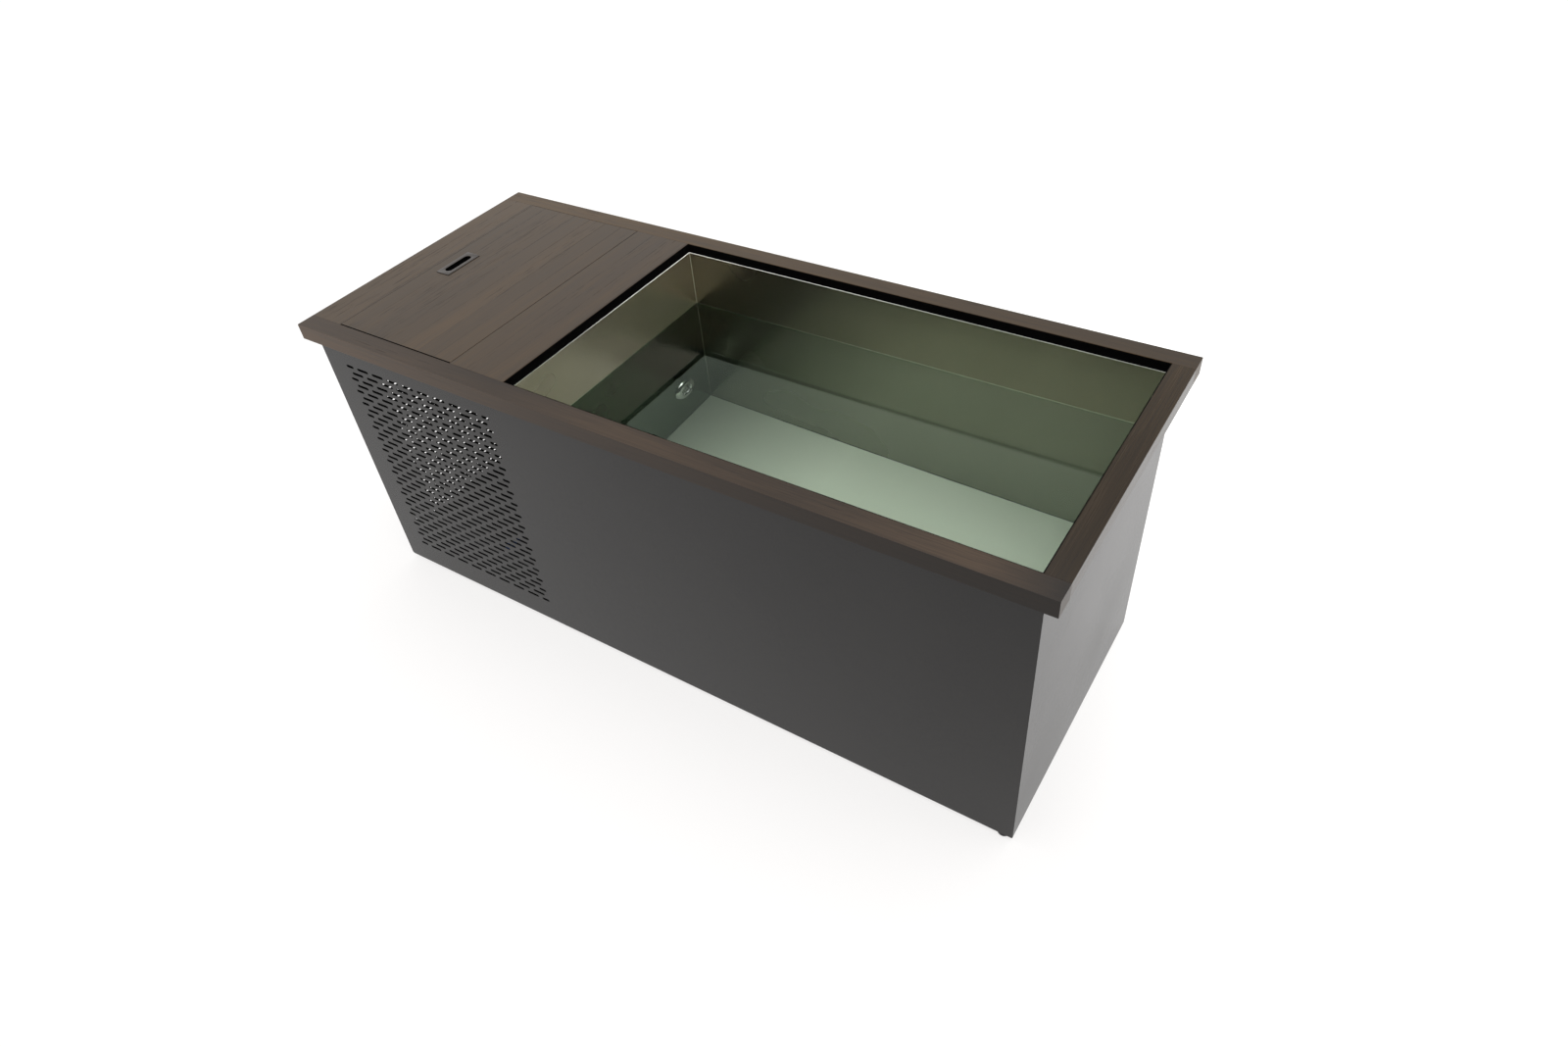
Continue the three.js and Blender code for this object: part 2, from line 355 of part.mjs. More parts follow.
// ---------------------------------------------------------------- controls, on the bulkhead, reached through the hatch
const BTN = [['power', -70], ['down', 40], ['up', 75]], BTN_Z = 590;
let ctrl = box(CTRL.x0, CTRL.x1, -CTRL.y, CTRL.y, CTRL.z0, CTRL.z1)
  .subtract(box(CTRL.x0 + CTRL.t, CTRL.x1 - CTRL.t, -CTRL.y + CTRL.t, CTRL.y - CTRL.t, CTRL.z0 + CTRL.t, CTRL.z1 - CTRL.t))
  .subtract(box(CTRL.x0 - 5, CTRL.x0 + 1.5, -45.3, 15.3, 569.7, 610.3));
for (const [, y] of BTN) ctrl = ctrl.subtract(cyl('x', [CTRL.x0 - 5, y, BTN_Z], 9, 12, 16));
add('control_box', ctrl, ...GREY);
for (const [name, y] of BTN)
  add('button_' + name, lathe('x', [CTRL.x0 - 3, y, BTN_Z], [[0, 0], [7, 0], [8, 1], [8, 6.4], [11.5, 6.4], [11.5, 9], [0, 9]], 16), ...BLACK);

// ---------------------------------------------------------------- mains inlet on the back panel
add('power_inlet', box(INLET[0] - 22, INLET[0] + 22, FY1 - 22, FY1 + 2, INLET[1] - 12, INLET[1] + 12)
  .add(box(INLET[0] - 26, INLET[0] + 26, FY1 + GAP, FY1 + 3.5, INLET[1] - 16, INLET[1] + 16))
  .subtract(box(INLET[0] - 12.5, INLET[0] + 12.5, FY1 - 14, FY1 + 10, INLET[1] - 8.5, INLET[1] + 8.5)), ...BLACK);

export default group;
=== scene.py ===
import math
import random

import bmesh
import bpy
from mathutils import Matrix, Vector

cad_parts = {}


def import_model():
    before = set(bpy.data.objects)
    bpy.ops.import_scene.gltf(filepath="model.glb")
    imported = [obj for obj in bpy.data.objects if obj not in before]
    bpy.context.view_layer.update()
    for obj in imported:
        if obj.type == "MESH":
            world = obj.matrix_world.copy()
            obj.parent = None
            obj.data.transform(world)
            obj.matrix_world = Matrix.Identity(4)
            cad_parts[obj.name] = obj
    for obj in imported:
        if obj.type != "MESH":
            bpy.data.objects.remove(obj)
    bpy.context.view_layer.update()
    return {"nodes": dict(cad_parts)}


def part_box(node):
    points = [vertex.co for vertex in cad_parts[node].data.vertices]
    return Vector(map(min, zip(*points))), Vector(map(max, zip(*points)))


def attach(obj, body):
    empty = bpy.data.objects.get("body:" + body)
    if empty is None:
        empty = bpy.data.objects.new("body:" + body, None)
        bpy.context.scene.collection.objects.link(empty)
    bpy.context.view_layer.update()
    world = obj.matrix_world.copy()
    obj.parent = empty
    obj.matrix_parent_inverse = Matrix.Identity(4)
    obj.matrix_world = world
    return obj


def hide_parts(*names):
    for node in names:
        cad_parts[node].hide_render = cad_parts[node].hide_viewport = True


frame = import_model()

NODES = frame["nodes"]
ROOT = "cabinet"
random.seed(7)


# ------------------------------------------------------------------ node helpers
class Tree:
    """Small builder for a material's nodes."""

    def __init__(self, name):
        self.m = bpy.data.materials.new(name)
        self.m.use_nodes = True
        self.t = self.m.node_tree
        self.t.nodes.clear()
        self.out = self.t.nodes.new("ShaderNodeOutputMaterial")
        self.p = self.t.nodes.new("ShaderNodeBsdfPrincipled")
        self.t.links.new(self.p.outputs[0], self.out.inputs["Surface"])

    def set(self, **kw):
        for k, v in kw.items():
            self.p.inputs[k.replace("_", " ")].default_value = v
        return self

    def link(self, a, b):
        self.t.links.new(a, b)

    def to(self, out, socket):
        self.t.links.new(out, self.p.inputs[socket])

    def coord(self, scale=(1, 1, 1), loc=(0, 0, 0), rot=(0, 0, 0)):
        c = self.t.nodes.new("ShaderNodeTexCoord")
        m = self.t.nodes.new("ShaderNodeMapping")
        m.inputs["Location"].default_value = loc
        m.inputs["Rotation"].default_value = rot
        m.inputs["Scale"].default_value = scale
        self.link(c.outputs["Object"], m.inputs["Vector"])
        return m.outputs["Vector"]

    def noise(self, vec, scale, detail=3.0, rough=0.5, distort=0.0):
        n = self.t.nodes.new("ShaderNodeTexNoise")
        n.inputs["Scale"].default_value = scale
        n.inputs["Detail"].default_value = detail
        n.inputs["Roughness"].default_value = rough
        n.inputs["Distortion"].default_value = distort
        self.link(vec, n.inputs["Vector"])
        return n.outputs["Fac"]

    def voronoi(self, vec, scale, feature="F1"):
        n = self.t.nodes.new("ShaderNodeTexVoronoi")
        n.feature = feature
        n.inputs["Scale"].default_value = scale
        self.link(vec, n.inputs["Vector"])
        return n.outputs["Distance"]

    def wave(self, vec, scale, distortion=0.0, detail=2.0, detail_scale=1.0, direction="X"):
        n = self.t.nodes.new("ShaderNodeTexWave")
        n.bands_direction = direction
        n.inputs["Scale"].default_value = scale
        n.inputs["Distortion"].default_value = distortion
        n.inputs["Detail"].default_value = detail
        n.inputs["Detail Scale"].default_value = detail_scale
        self.link(vec, n.inputs["Vector"])
        return n.outputs["Fac"]

    def ramp(self, fac, stops):
        n = self.t.nodes.new("ShaderNodeValToRGB")
        r = n.color_ramp
        while len(r.elements) < len(stops):
            r.elements.new(0.5)
        for e, (pos, col) in zip(r.elements, stops):
            e.position = pos
            e.color = (col, col, col, 1) if isinstance(col, (int, float)) else (*col, 1)
        self.link(fac, n.inputs["Fac"])
        return n.outputs["Color"]

    def range(self, fac, a, b, c, d):
        n = self.t.nodes.new("ShaderNodeMapRange")
        for k, v in zip(("From Min", "From Max", "To Min", "To Max"), (a, b, c, d)):
            n.inputs[k].default_value = v
        self.link(fac, n.inputs["Value"])
        return n.outputs["Result"]

    def math(self, op, a, b=None):
        n = self.t.nodes.new("ShaderNodeMath")
        n.operation = op
        for i, v in enumerate((a, b)):
            if v is None:
                continue
            if isinstance(v, (int, float)):
                n.inputs[i].default_value = v
            else:
                self.link(v, n.inputs[i])
        return n.outputs[0]

    def mix(self, a, b, fac, mode="MIX"):
        n = self.t.nodes.new("ShaderNodeMix")
        n.data_type = "RGBA"
        n.blend_type = mode
        for s, v in ((n.inputs[0], fac), (n.inputs[6], a), (n.inputs[7], b)):
            if isinstance(v, (int, float)):
                s.default_value = v
            elif isinstance(v, tuple):
                s.default_value = (*v, 1)
            else:
                self.link(v, s)
        return n.outputs[2]

    def bump(self, height, strength, distance, normal=None):
        n = self.t.nodes.new("ShaderNodeBump")
        n.inputs["Strength"].default_value = strength
        n.inputs["Distance"].default_value = distance
        self.link(height, n.inputs["Height"])
        if normal is not None:
            self.link(normal, n.inputs["Normal"])
        return n.outputs["Normal"]

    def sep(self, vec):
        n = self.t.nodes.new("ShaderNodeSeparateXYZ")
        self.link(vec, n.inputs[0])
        return n.outputs

    def done(self, normal=None):
        if normal is not None:
            self.to(normal, "Normal")
        return self.m


# ------------------------------------------------------------------ materials
def powder_coat(name="powder_coat", dark=(0.0078, 0.0070, 0.0066), pale=(0.0106, 0.0095, 0.0090), rough=(0.24, 0.31), ior=1.355, cut=False):
    """Charcoal satin coat: faint clouding, very fine texture. cut: the cut edges of the slots and sheets are
    near-black and rough, painted shade so that the slots read dark.
    """
    t = Tree(name).set(IOR=ior, Specular_IOR_Level=0.5)
    v = t.coord()
    cloud = t.noise(v, 3.2, 4, 0.55)
    fine = t.noise(v, 900, 2, 0.6)
    peel = t.noise(v, 190, 2, 0.5)
    col = t.ramp(cloud, [(0.3, dark), (0.7, pale)])
    col = t.mix(col, t.ramp(fine, [(0.3, 0.88), (0.7, 1.12)]), 1.0, "MULTIPLY")
    gloss = t.range(t.math("ADD", t.math("MULTIPLY", cloud, 0.6), t.math("MULTIPLY", fine, 0.4)), 0.3, 0.7, *rough)
    if cut:
        # painted shade: faces inside the sheet thickness (slot and sheet edges) go near-black and rough
        x, y, z = t.sep(v)
        front = t.math("MULTIPLY", t.range(y, -0.3198, -0.3195, 0, 1), t.range(y, -0.3180, -0.3177, 1, 0))
        left = t.math("MULTIPLY", t.range(x, -0.8338, -0.8335, 0, 1), t.range(x, -0.8320, -0.8317, 1, 0))
        left = t.math("MULTIPLY", left, t.range(y, -0.3176, -0.3172, 0, 1))
        inside = t.math("MAXIMUM", front, left)
        col = t.mix(col, (0.0015, 0.0014, 0.0014), inside)
        gloss = t.math("MAXIMUM", gloss, t.math("MULTIPLY", inside, 0.95))
    t.to(col, "Base Color")
    t.to(gloss, "Roughness")
    n = t.bump(peel, 0.05, 0.0005)
    return t.done(t.bump(fine, 0.06, 0.0002, n))


def timber(name, axis, seed=0.0, tone=1.0, ior=1.40, staves=False, shade=None, face=None, tint=(1.0, 1.0, 1.0), rough=(0.34, 0.43)):
    """Dark stained open-pored timber; axis is the way the grain runs.

    staves: narrow strips glued edge to edge, each with its own tone and a fine joint.
    shade, face: [(place, depth)], slow changes of depth along the grain on top and along X on the front edge; partly
    the wood's own tone and partly painted light and shade, and on the front edge a painted reflection, bright at the
    left and dark at the right.
    """
    t = Tree(name).set(IOR=ior, Specular_IOR_Level=0.5)

    def sc(along, across):
        return (along, across, across) if axis == "X" else (across, along, across)
    off = (seed * 1.37, seed * 2.11, seed * 0.53)
    drift = t.noise(t.coord(sc(0.55, 4.0), off), 1.0, 3, 0.5)
    streak = t.noise(t.coord(sc(1.1, 52.0), off), 1.0, 4, 0.6, 0.2)
    fibre = t.noise(t.coord(sc(9.0, 420.0), off), 1.0, 2, 0.6)
    pore_a = t.noise(t.coord(sc(16.0, 520.0), off), 1.0, 1, 0.5)
    pore_m = t.noise(t.coord(sc(1.6, 22.0), off), 1.0, 2, 0.5)
    pores = t.math("MULTIPLY", t.range(pore_a, 0.60, 0.70, 0, 1), t.range(pore_m, 0.50, 0.66, 0, 0.75))
    k = tone
    deep, mid, pale = (tuple(c * k * f for c, f in zip(rgb, tint)) for rgb in ((0.034, 0.0208, 0.0092), (0.044, 0.0270, 0.0120), (0.055, 0.0340, 0.0152)))
    col = t.ramp(streak, [(0.25, deep), (0.5, mid), (0.78, pale)])
    col = t.mix(col, t.ramp(drift, [(0.25, 0.66), (0.75, 1.32)]), 1.0, "MULTIPLY")
    col = t.mix(col, t.ramp(fibre, [(0.3, 0.72), (0.7, 1.24)]), 0.9, "MULTIPLY")
    x = t.sep(t.coord())[0]
    if staves:
        u = t.math("DIVIDE", t.math("ADD", x, 0.4309 + 0.0479 * 40), 0.0479)
        wn = t.t.nodes.new("ShaderNodeTexWhiteNoise")
        wn.noise_dimensions = "1D"
        t.link(t.math("FLOOR", u), wn.inputs["W"])
        col = t.mix(col, t.ramp(wn.outputs["Value"], [(0.0, 0.82), (1.0, 1.18)]), 1.0, "MULTIPLY")
        fr = t.math("FRACT", u)
        edge = t.math("MINIMUM", fr, t.math("SUBTRACT", 1.0, fr))
        line = t.range(edge, 0.008, 0.022, 1, 0)
        y = t.sep(t.coord())[1]
        broken = t.range(t.noise(t.coord((3.0, 30.0, 1.0), off), 1.0, 3, 0.7), 0.40, 0.52, 0, 1)
        broken = t.math("MULTIPLY", broken, t.range(y, -0.25, 0.15, 0.35, 1.0))
        joint = t.math("MULTIPLY", line, broken)
        pores = t.math("MAXIMUM", pores, t.math("MULTIPLY", joint, 0.95))
    g = t.t.nodes.new("ShaderNodeNewGeometry")
    nx, ny, nz = t.sep(g.outputs["Normal"])
    # the shade and face ramps paint light and shade into the colour of top faces and front faces
    for stops, way, side in ((shade, axis, t.range(nz, 0.5, 0.9, 0, 1)), (face, "X", t.range(ny, -0.9, -0.5, 1, 0))):
        if stops:
            lo, hi = stops[0][0], stops[-1][0]
            u = t.range(t.sep(t.coord())["XY".index(way)], lo, hi, 0, 1)
            col = t.mix(col, t.ramp(u, [((p - lo) / (hi - lo), k) for p, k in stops]), side, "MULTIPLY")
    col = t.mix(col, (0.004, 0.0025, 0.0018), t.math("MULTIPLY", pores, 0.85))
    t.to(col, "Base Color")
    r = t.range(t.math("ADD", t.math("MULTIPLY", streak, 0.5), t.math("MULTIPLY", fibre, 0.5)), 0.3, 0.7, *rough)
    t.to(t.math("ADD", r, t.math("MULTIPLY", pores, 0.25)), "Roughness")
    h = t.math("SUBTRACT", t.math("MULTIPLY", fibre, 0.30), pores)
    return t.done(t.bump(h, 0.22, 0.0004))


def stainless(name="tub_stainless", rough=(0.22, 0.28)):
    """Satin sheet of the tub walls. Its colour holds painted shade and light: darker under the water line and towards
    the chiller end, the end walls shaded apart from the long walls, a brighter band near the floor as a painted
    reflection of the floor, a dark stripe as a painted reflection of the black rim seal, and a painted highlight along
    the water line.
    """
    t = Tree(name).set(Metallic=1.0, Specular_Tint=(0.78, 0.92, 0.80, 1.0))
    v = t.coord()
    x, y, z = t.sep(v)
    g = t.t.nodes.new("ShaderNodeNewGeometry")
    nx, ny, nz = t.sep(g.outputs["Normal"])
    end = t.range(t.math("ABSOLUTE", nx), 0.6, 0.9, 0, 1)
    above_water_mask = t.range(z, 0.5553, 0.5563, 0, 1)
    # darker towards the chiller end: painted shade
    along = t.ramp(t.range(x, -0.30, 0.18, 0, 1), [(0.0, 0.0), (0.25, 0.32), (0.7, 0.90), (1.0, 1.0)])
    # colour under the water: painted shade, darkest on the end walls
    under_water_shaded = t.mix(t.mix((0.128, 0.140, 0.110), (0.258, 0.250, 0.216), along), (0.026, 0.040, 0.026), end)
    # a brighter band near the tub floor: painted reflection of the floor
    floor_reflection_band = t.mix(t.mix((0.365, 0.348, 0.320), (0.262, 0.250, 0.220), along), (0.150, 0.152, 0.142), end)
    under_water_shaded = t.mix(under_water_shaded, floor_reflection_band, t.range(z, 0.285, 0.315, 1, 0))
    # colour above the water: painted shade towards the chiller end; the end walls lighten towards the back as painted
    # light
    above_water_shaded = t.mix((0.190, 0.172, 0.130), (0.262, 0.240, 0.192), along)
    above_water_shaded = t.mix(above_water_shaded, t.mix((0.410, 0.335, 0.285), (0.910, 0.735, 0.690), t.range(y, -0.22, 0.20, 0, 1)), end)
    # dark stripe under the water: painted reflection of the black rim seal
    seal_reflection = t.math("ABSOLUTE", t.math("SUBTRACT", t.math("ADD", z, t.math("SUBTRACT", t.math("MULTIPLY", y, 0.04), t.math("MULTIPLY", x, 0.02))), 0.3045))
    col = t.mix(t.mix(under_water_shaded, t.ramp(t.range(seal_reflection, 0.006, 0.013, 0, 1), [(0.0, 0.70), (1.0, 1.0)]), 1.0, "MULTIPLY"), above_water_shaded, above_water_mask)
    # bright line at the water line: painted highlight
    waterline_highlight = t.range(t.math("ABSOLUTE", t.math("SUBTRACT", z, 0.5570)), 0.0006, 0.0014, 0.55, 0)
    col = t.mix(col, (0.72, 0.70, 0.60), waterline_highlight)
    big = t.noise(v, 3.0, 2, 0.45)
    col = t.mix(col, t.ramp(big, [(0.3, 0.95), (0.7, 1.03)]), 1.0, "MULTIPLY")
    t.to(col, "Base Color")
    t.to(t.range(big, 0.32, 0.68, *rough), "Roughness")
    return t.done()


def matt_sheet(name="tub_floor_sheet"):
    """Bead-blasted sheet of the tub floor, darker towards the left end as painted shade."""
    t = Tree(name).set(Metallic=0.12)
    v = t.coord()
    big = t.noise(v, 2.6, 2, 0.45)
    x = t.sep(v)[0]
    col = t.ramp(big, [(0.3, (0.87, 0.955, 0.81)), (0.7, (0.90, 0.980, 0.84))])
    # darker towards the left end: painted shade
    t.to(t.mix(col, t.ramp(t.range(x, -0.28, 0.14, 0, 1), [(0.0, 0.36), (0.45, 0.66), (1.0, 1.0)]), 1.0, "MULTIPLY"), "Base Color")
    t.to(t.range(big, 0.32, 0.68, 0.46, 0.54), "Roughness")
    return t.done()


def metal(name, base, rough, bump=0.08, scale=120.0, streak=(1, 1, 1)):
    t = Tree(name).set(Metallic=1.0)
    v = t.coord(streak)
    a, b = t.noise(v, scale, 3, 0.6), t.noise(v, scale * 0.07, 3, 0.5)
    t.to(t.ramp(b, [(0.3, tuple(c * 0.88 for c in base)), (0.7, tuple(min(1.0, c * 1.08) for c in base))]), "Base Color")
    t.to(t.range(t.math("ADD", t.math("MULTIPLY", a, 0.5), t.math("MULTIPLY", b, 0.5)), 0.3, 0.7, rough * 0.8, rough * 1.25), "Roughness")
    return t.done(t.bump(a, bump, 0.0004))


def moulded(name, base, rough, bump=0.10, scale=900.0, vary=0.18, spec=0.5):
    t = Tree(name).set(IOR=1.48, Specular_IOR_Level=spec)
    v = t.coord()
    a, b = t.noise(v, scale, 2, 0.6), t.noise(v, 14.0, 3, 0.5)
    t.to(t.ramp(b, [(0.3, tuple(c * (1 - vary) for c in base)), (0.7, tuple(min(1.0, c * (1 + vary)) for c in base))]), "Base Color")
    t.to(t.range(t.math("ADD", t.math("MULTIPLY", a, 0.6), t.math("MULTIPLY", b, 0.4)), 0.3, 0.7, rough - 0.06, rough + 0.08), "Roughness")
    return t.done(t.bump(a, bump, 0.0003))


def water():
    t = Tree("water").set(IOR=1.333, Transmission_Weight=1.0, Roughness=0.0, Specular_Tint=(0.42, 0.78, 0.46, 1.0))
    t.p.inputs["Base Color"].default_value = (1, 1, 1, 1)
    a = t.t.nodes.new("ShaderNodeVolumeAbsorption")
    a.inputs["Color"].default_value = (0.84, 0.94, 0.85, 1)
    a.inputs["Density"].default_value = 1.0
    t.link(a.outputs[0], t.out.inputs["Volume"])
    v = t.coord()
    swell = t.noise(v, 5.0, 2, 0.4, 0.2)
    return t.done(t.bump(swell, 0.006, 0.010))


def pleats(name="filter_media"):
    t = Tree(name).set(Roughness=0.9)
    v = t.coord()
    f = t.noise(v, 90, 3)
    t.to(t.ramp(f, [(0.3, (0.62, 0.66, 0.68)), (0.7, (0.78, 0.82, 0.83))]), "Base Color")
    return t.done(t.bump(f, 0.3, 0.001))


M = {
    "powder": powder_coat(),
    "powder_slot_shade": powder_coat("powder_coat_slot_shade", cut=True),
    "bay": powder_coat("bay_paint", (0.006, 0.006, 0.0062), (0.010, 0.010, 0.0102), (0.55, 0.66), 1.3),
    # one stained timber in four finishes: each board's tone and tint are partly painted light and shade, for how its
    # grain catches the light, and the shade and face ramps paint light and shade along the boards
    "wood_deck": timber("deck_timber_y", "Y", 0.0, 0.86, 1.388, staves=True, tint=(1.0, 0.90, 0.66)),
    "wood_rail": timber("deck_timber_x", "X", 3.0, 0.74, 1.318, shade=[(-0.85, 0.92), (-0.50, 0.90), (-0.30, 0.62), (0.02, 1.20), (0.40, 0.78), (0.72, 1.35), (0.85, 0.25)], face=[(-0.85, 1.9), (-0.10, 0.78), (0.40, 0.45), (0.85, 0.26)], tint=(1.03, 1.00, 1.20)),
    "wood_back": timber("deck_timber_x2", "X", 8.0, 0.98, 1.335, shade=[(-0.85, 1.20), (0.0, 0.95), (0.85, 0.50)], tint=(1.0, 0.91, 0.66)),
    "wood_right": timber("deck_timber_y2", "Y", 5.0, 0.50, 1.275, shade=[(-0.31, 0.82), (0.0, 1.0), (0.30, 1.45)], tint=(1.0, 0.95, 0.75), rough=(0.22, 0.30)),
    "steel": stainless(),
    "steel_floor": matt_sheet(),
    "weld": metal("weld_bead", (0.17, 0.18, 0.16), 0.50, 0.3, 260.0),
    "chrome": metal("fitting_chrome", (0.80, 0.81, 0.81), 0.10, 0.02, 60.0),
    "zinc": metal("galvanised_steel", (0.42, 0.43, 0.44), 0.42, 0.15, 90.0),
    "hinge": metal("hinge_steel", (0.45, 0.45, 0.45), 0.35),
    "rubber": moulded("gasket_rubber", (0.0012, 0.0012, 0.0012), 0.8, 0.15, 500.0, spec=0.03),
    "foot": moulded("foot_rubber", (0.008, 0.008, 0.008), 0.60, 0.2, 400.0),
    "foam": moulded("foam", (0.55, 0.52, 0.42), 0.9, 0.6, 160.0),
    "black": moulded("black_plastic", (0.014, 0.014, 0.015), 0.48),
    "grey": moulded("grey_plastic", (0.075, 0.077, 0.080), 0.45),
    "paint": moulded("machine_paint", (0.014, 0.015, 0.016), 0.38, 0.2, 300.0),
    "pipe": moulded("pipe_plastic", (0.040, 0.041, 0.043), 0.42),
    "brass": moulded("valve_black", (0.020, 0.020, 0.021), 0.42),
    "copper": metal("pipe_copper", (0.72, 0.36, 0.22), 0.30),
    "lever": moulded("lever_blue", (0.02, 0.075, 0.24), 0.35),
    "pull": moulded("pull_brown", (0.030, 0.024, 0.020), 0.40, 0.1, 600.0),
    "cup": moulded("pull_cup", (0.0015, 0.0015, 0.0015), 0.7, spec=0.05),
    "window": moulded("display_window", (0.008, 0.008, 0.010), 0.16, 0.01),
    "alu": moulded("coil_aluminium", (0.010, 0.010, 0.0105), 0.55, 0.1, 200.0, spec=0.3),
    "rim": metal("polished_rim", (0.88, 0.88, 0.84), 0.16, 0.02, 60.0),
    "media": pleats(),
    "water": water(),
}


def dress(node, key, bevel=0.0, segments=2, angle=40):
    """Finish on a CAD node; a bevel softens its arrises."""
    o = NODES[node]
    o.data.materials.clear()
    o.data.materials.append(M[key])
    for p in o.data.polygons:
        p.material_index = 0
    if bevel:
        b = o.modifiers.new("arris", "BEVEL")
        b.width = bevel
        b.segments = segments
        b.limit_method = "ANGLE"
        b.angle_limit = math.radians(angle)
        b.harden_normals = False
    return o


# ------------------------------------------------------------------ mesh helpers
def obj(name, bm, key, body=ROOT, smooth=None, replaces=()):
    me = bpy.data.meshes.new(name)
    bmesh.ops.remove_doubles(bm, verts=bm.verts, dist=1e-6)
    bmesh.ops.recalc_face_normals(bm, faces=bm.faces)
    bm.to_mesh(me)
    bm.free()
    return place(name, me, key, body, smooth, replaces)


def place(name, me, key, body=ROOT, smooth=None, replaces=()):
    o = bpy.data.objects.new(name, me)
    bpy.context.scene.collection.objects.link(o)
    me.materials.clear()
    me.materials.append(M[key])
    if smooth is not None:
        me.shade_smooth()
        me.set_sharp_from_angle(angle=math.radians(smooth))
    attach(o, body)
    if replaces:
        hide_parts(*replaces)
    return o


def box_bm(bm, x0, x1, y0, y1, z0, z1):
    m = Matrix.Translation(((x0 + x1) / 2, (y0 + y1) / 2, (z0 + z1) / 2)) @ Matrix.Diagonal((x1 - x0, y1 - y0, z1 - z0, 1))
    return bmesh.ops.create_cube(bm, size=1.0, matrix=m)["verts"]


def turned(bm, profile, axis, centre, seg=48):
    """Turned solid: profile is [(radius, distance along axis)], in metres."""
    ax = {"X": Matrix.Rotation(math.radians(90), 4, "Y"), "Y": Matrix.Rotation(math.radians(-90), 4, "X"), "Z": Matrix.Identity(4)}[axis]
    m = Matrix.Translation(centre) @ ax
    rings = []
    for r, d in profile:
        if r < 1e-7:
            rings.append([bm.verts.new(m @ Vector((0, 0, d)))])
        else:
            rings.append([bm.verts.new(m @ Vector((r * math.cos(2 * math.pi * i / seg), r * math.sin(2 * math.pi * i / seg), d))) for i in range(seg)])
    for a, b in zip(rings, rings[1:]):
        for i in range(seg):
            j = (i + 1) % seg
            if len(a) == 1 and len(b) == 1:
                continue
            if len(a) == 1:
                bm.faces.new((a[0], b[i], b[j]))
            elif len(b) == 1:
                bm.faces.new((a[i], a[j], b[0]))
            else:
                bm.faces.new((a[i], a[j], b[j], b[i]))


def slot_outline(u0, u1, w, n=6):
    """Closed outline of an oblong hole, along u, at v = 0."""
    r = w / 2
    pts = [(u1 - r + r * math.cos(a), r * math.sin(a)) for a in [-math.pi / 2 + math.pi * i / n for i in range(n + 1)]]
    pts += [(u0 + r + r * math.cos(a), r * math.sin(a)) for a in [math.pi / 2 + math.pi * i / n for i in range(n + 1)]]
    return pts


def plate(outline, holes, thick, edge=0.0):
    """Flat plate with holes in the UV plane, thickness centred on w = 0, with a small rounded edge."""
    cu = bpy.data.curves.new("plate", "CURVE")
    cu.dimensions = "2D"
    cu.fill_mode = "BOTH"
    cu.extrude = thick / 2 - edge
    cu.bevel_depth = edge
    cu.bevel_resolution = 1
    cu.offset = -edge
    for loop in [outline, *holes]:
        s = cu.splines.new("POLY")
        s.points.add(len(loop) - 1)
        for p, (a, b) in zip(s.points, loop):
            p.co = (a, b, 0, 1)
        s.use_cyclic_u = True
    o = bpy.data.objects.new("plate", cu)
    bpy.context.scene.collection.objects.link(o)
    bpy.context.view_layer.update()
    me = bpy.data.meshes.new_from_object(o.evaluated_get(bpy.context.evaluated_depsgraph_get()))
    bpy.data.objects.remove(o)
    bpy.data.curves.remove(cu)
    bm = bmesh.new()
    bm.from_mesh(me)
    bpy.data.meshes.remove(me)
    bmesh.ops.remove_doubles(bm, verts=bm.verts, dist=2e-6)
    return bm


def rounded_rect(u0, u1, v0, v1, radii, n=5):
    """Outline with its own corner radius at (u0,v0), (u1,v0), (u1,v1), (u0,v1)."""
    pts = []
    for (cu, cv, su, sv), r, a0 in zip([(u0, v0, 1, 1), (u1, v0, -1, 1), (u1, v1, -1, -1), (u0, v1, 1, -1)], radii, (180, 270, 0, 90)):
        if r <= 0:
            pts.append((cu, cv))
            continue
        for i in range(n + 1):
            a = math.radians(a0 + 90 * i / n)
            pts.append((cu + su * r + r * math.cos(a), cv + sv * r + r * math.sin(a)))
    return pts


def round_hole(u, v, r, n=32):
    return [(u + r * math.cos(2 * math.pi * i / n), v + r * math.sin(2 * math.pi * i / n)) for i in range(n)]


def upright(bm, turn, shift):
    """Stand a UV plate upright: u along the wall, v up, w through it."""
    m = Matrix.Translation(shift) @ Matrix.Rotation(math.radians(turn), 4, "Z") @ Matrix.Rotation(math.radians(90), 4, "X")
    bmesh.ops.transform(bm, matrix=m, verts=bm.verts)
    return bm


def soft_box(bm, x0, x1, y0, y1, z0, z1, r, seg=2):
    """Block with rounded arrises."""
    t = bmesh.new()
    box_bm(t, x0, x1, y0, y1, z0, z1)
    bmesh.ops.bevel(t, geom=list(t.edges), offset=r, segments=seg, profile=0.5, affect="EDGES")
    me = bpy.data.meshes.new("soft")
    t.to_mesh(me)
    t.free()
    bm.from_mesh(me)
    bpy.data.meshes.remove(me)


def route(points, bend, n=9):
    """Centre line through way-points (mm) with rounded corners, in metres."""
    P = [Vector(p) / 1000 for p in points]
    bend = bend / 1000
    out = [P[0]]
    for i in range(1, len(P) - 1):
        a, b = P[i - 1] - P[i], P[i + 1] - P[i]
        d = min(bend, a.length / 2, b.length / 2)
        s, e = P[i] + a.normalized() * d, P[i] + b.normalized() * d
        for k in range(n + 1):
            u = k / n
            q = s * (1 - u) ** 2 + P[i] * 2 * u * (1 - u) + e * u ** 2
            if (q - out[-1]).length > 1e-5:
                out.append(q)
    if (P[-1] - out[-1]).length > 1e-5:
        out.append(P[-1])
    return out


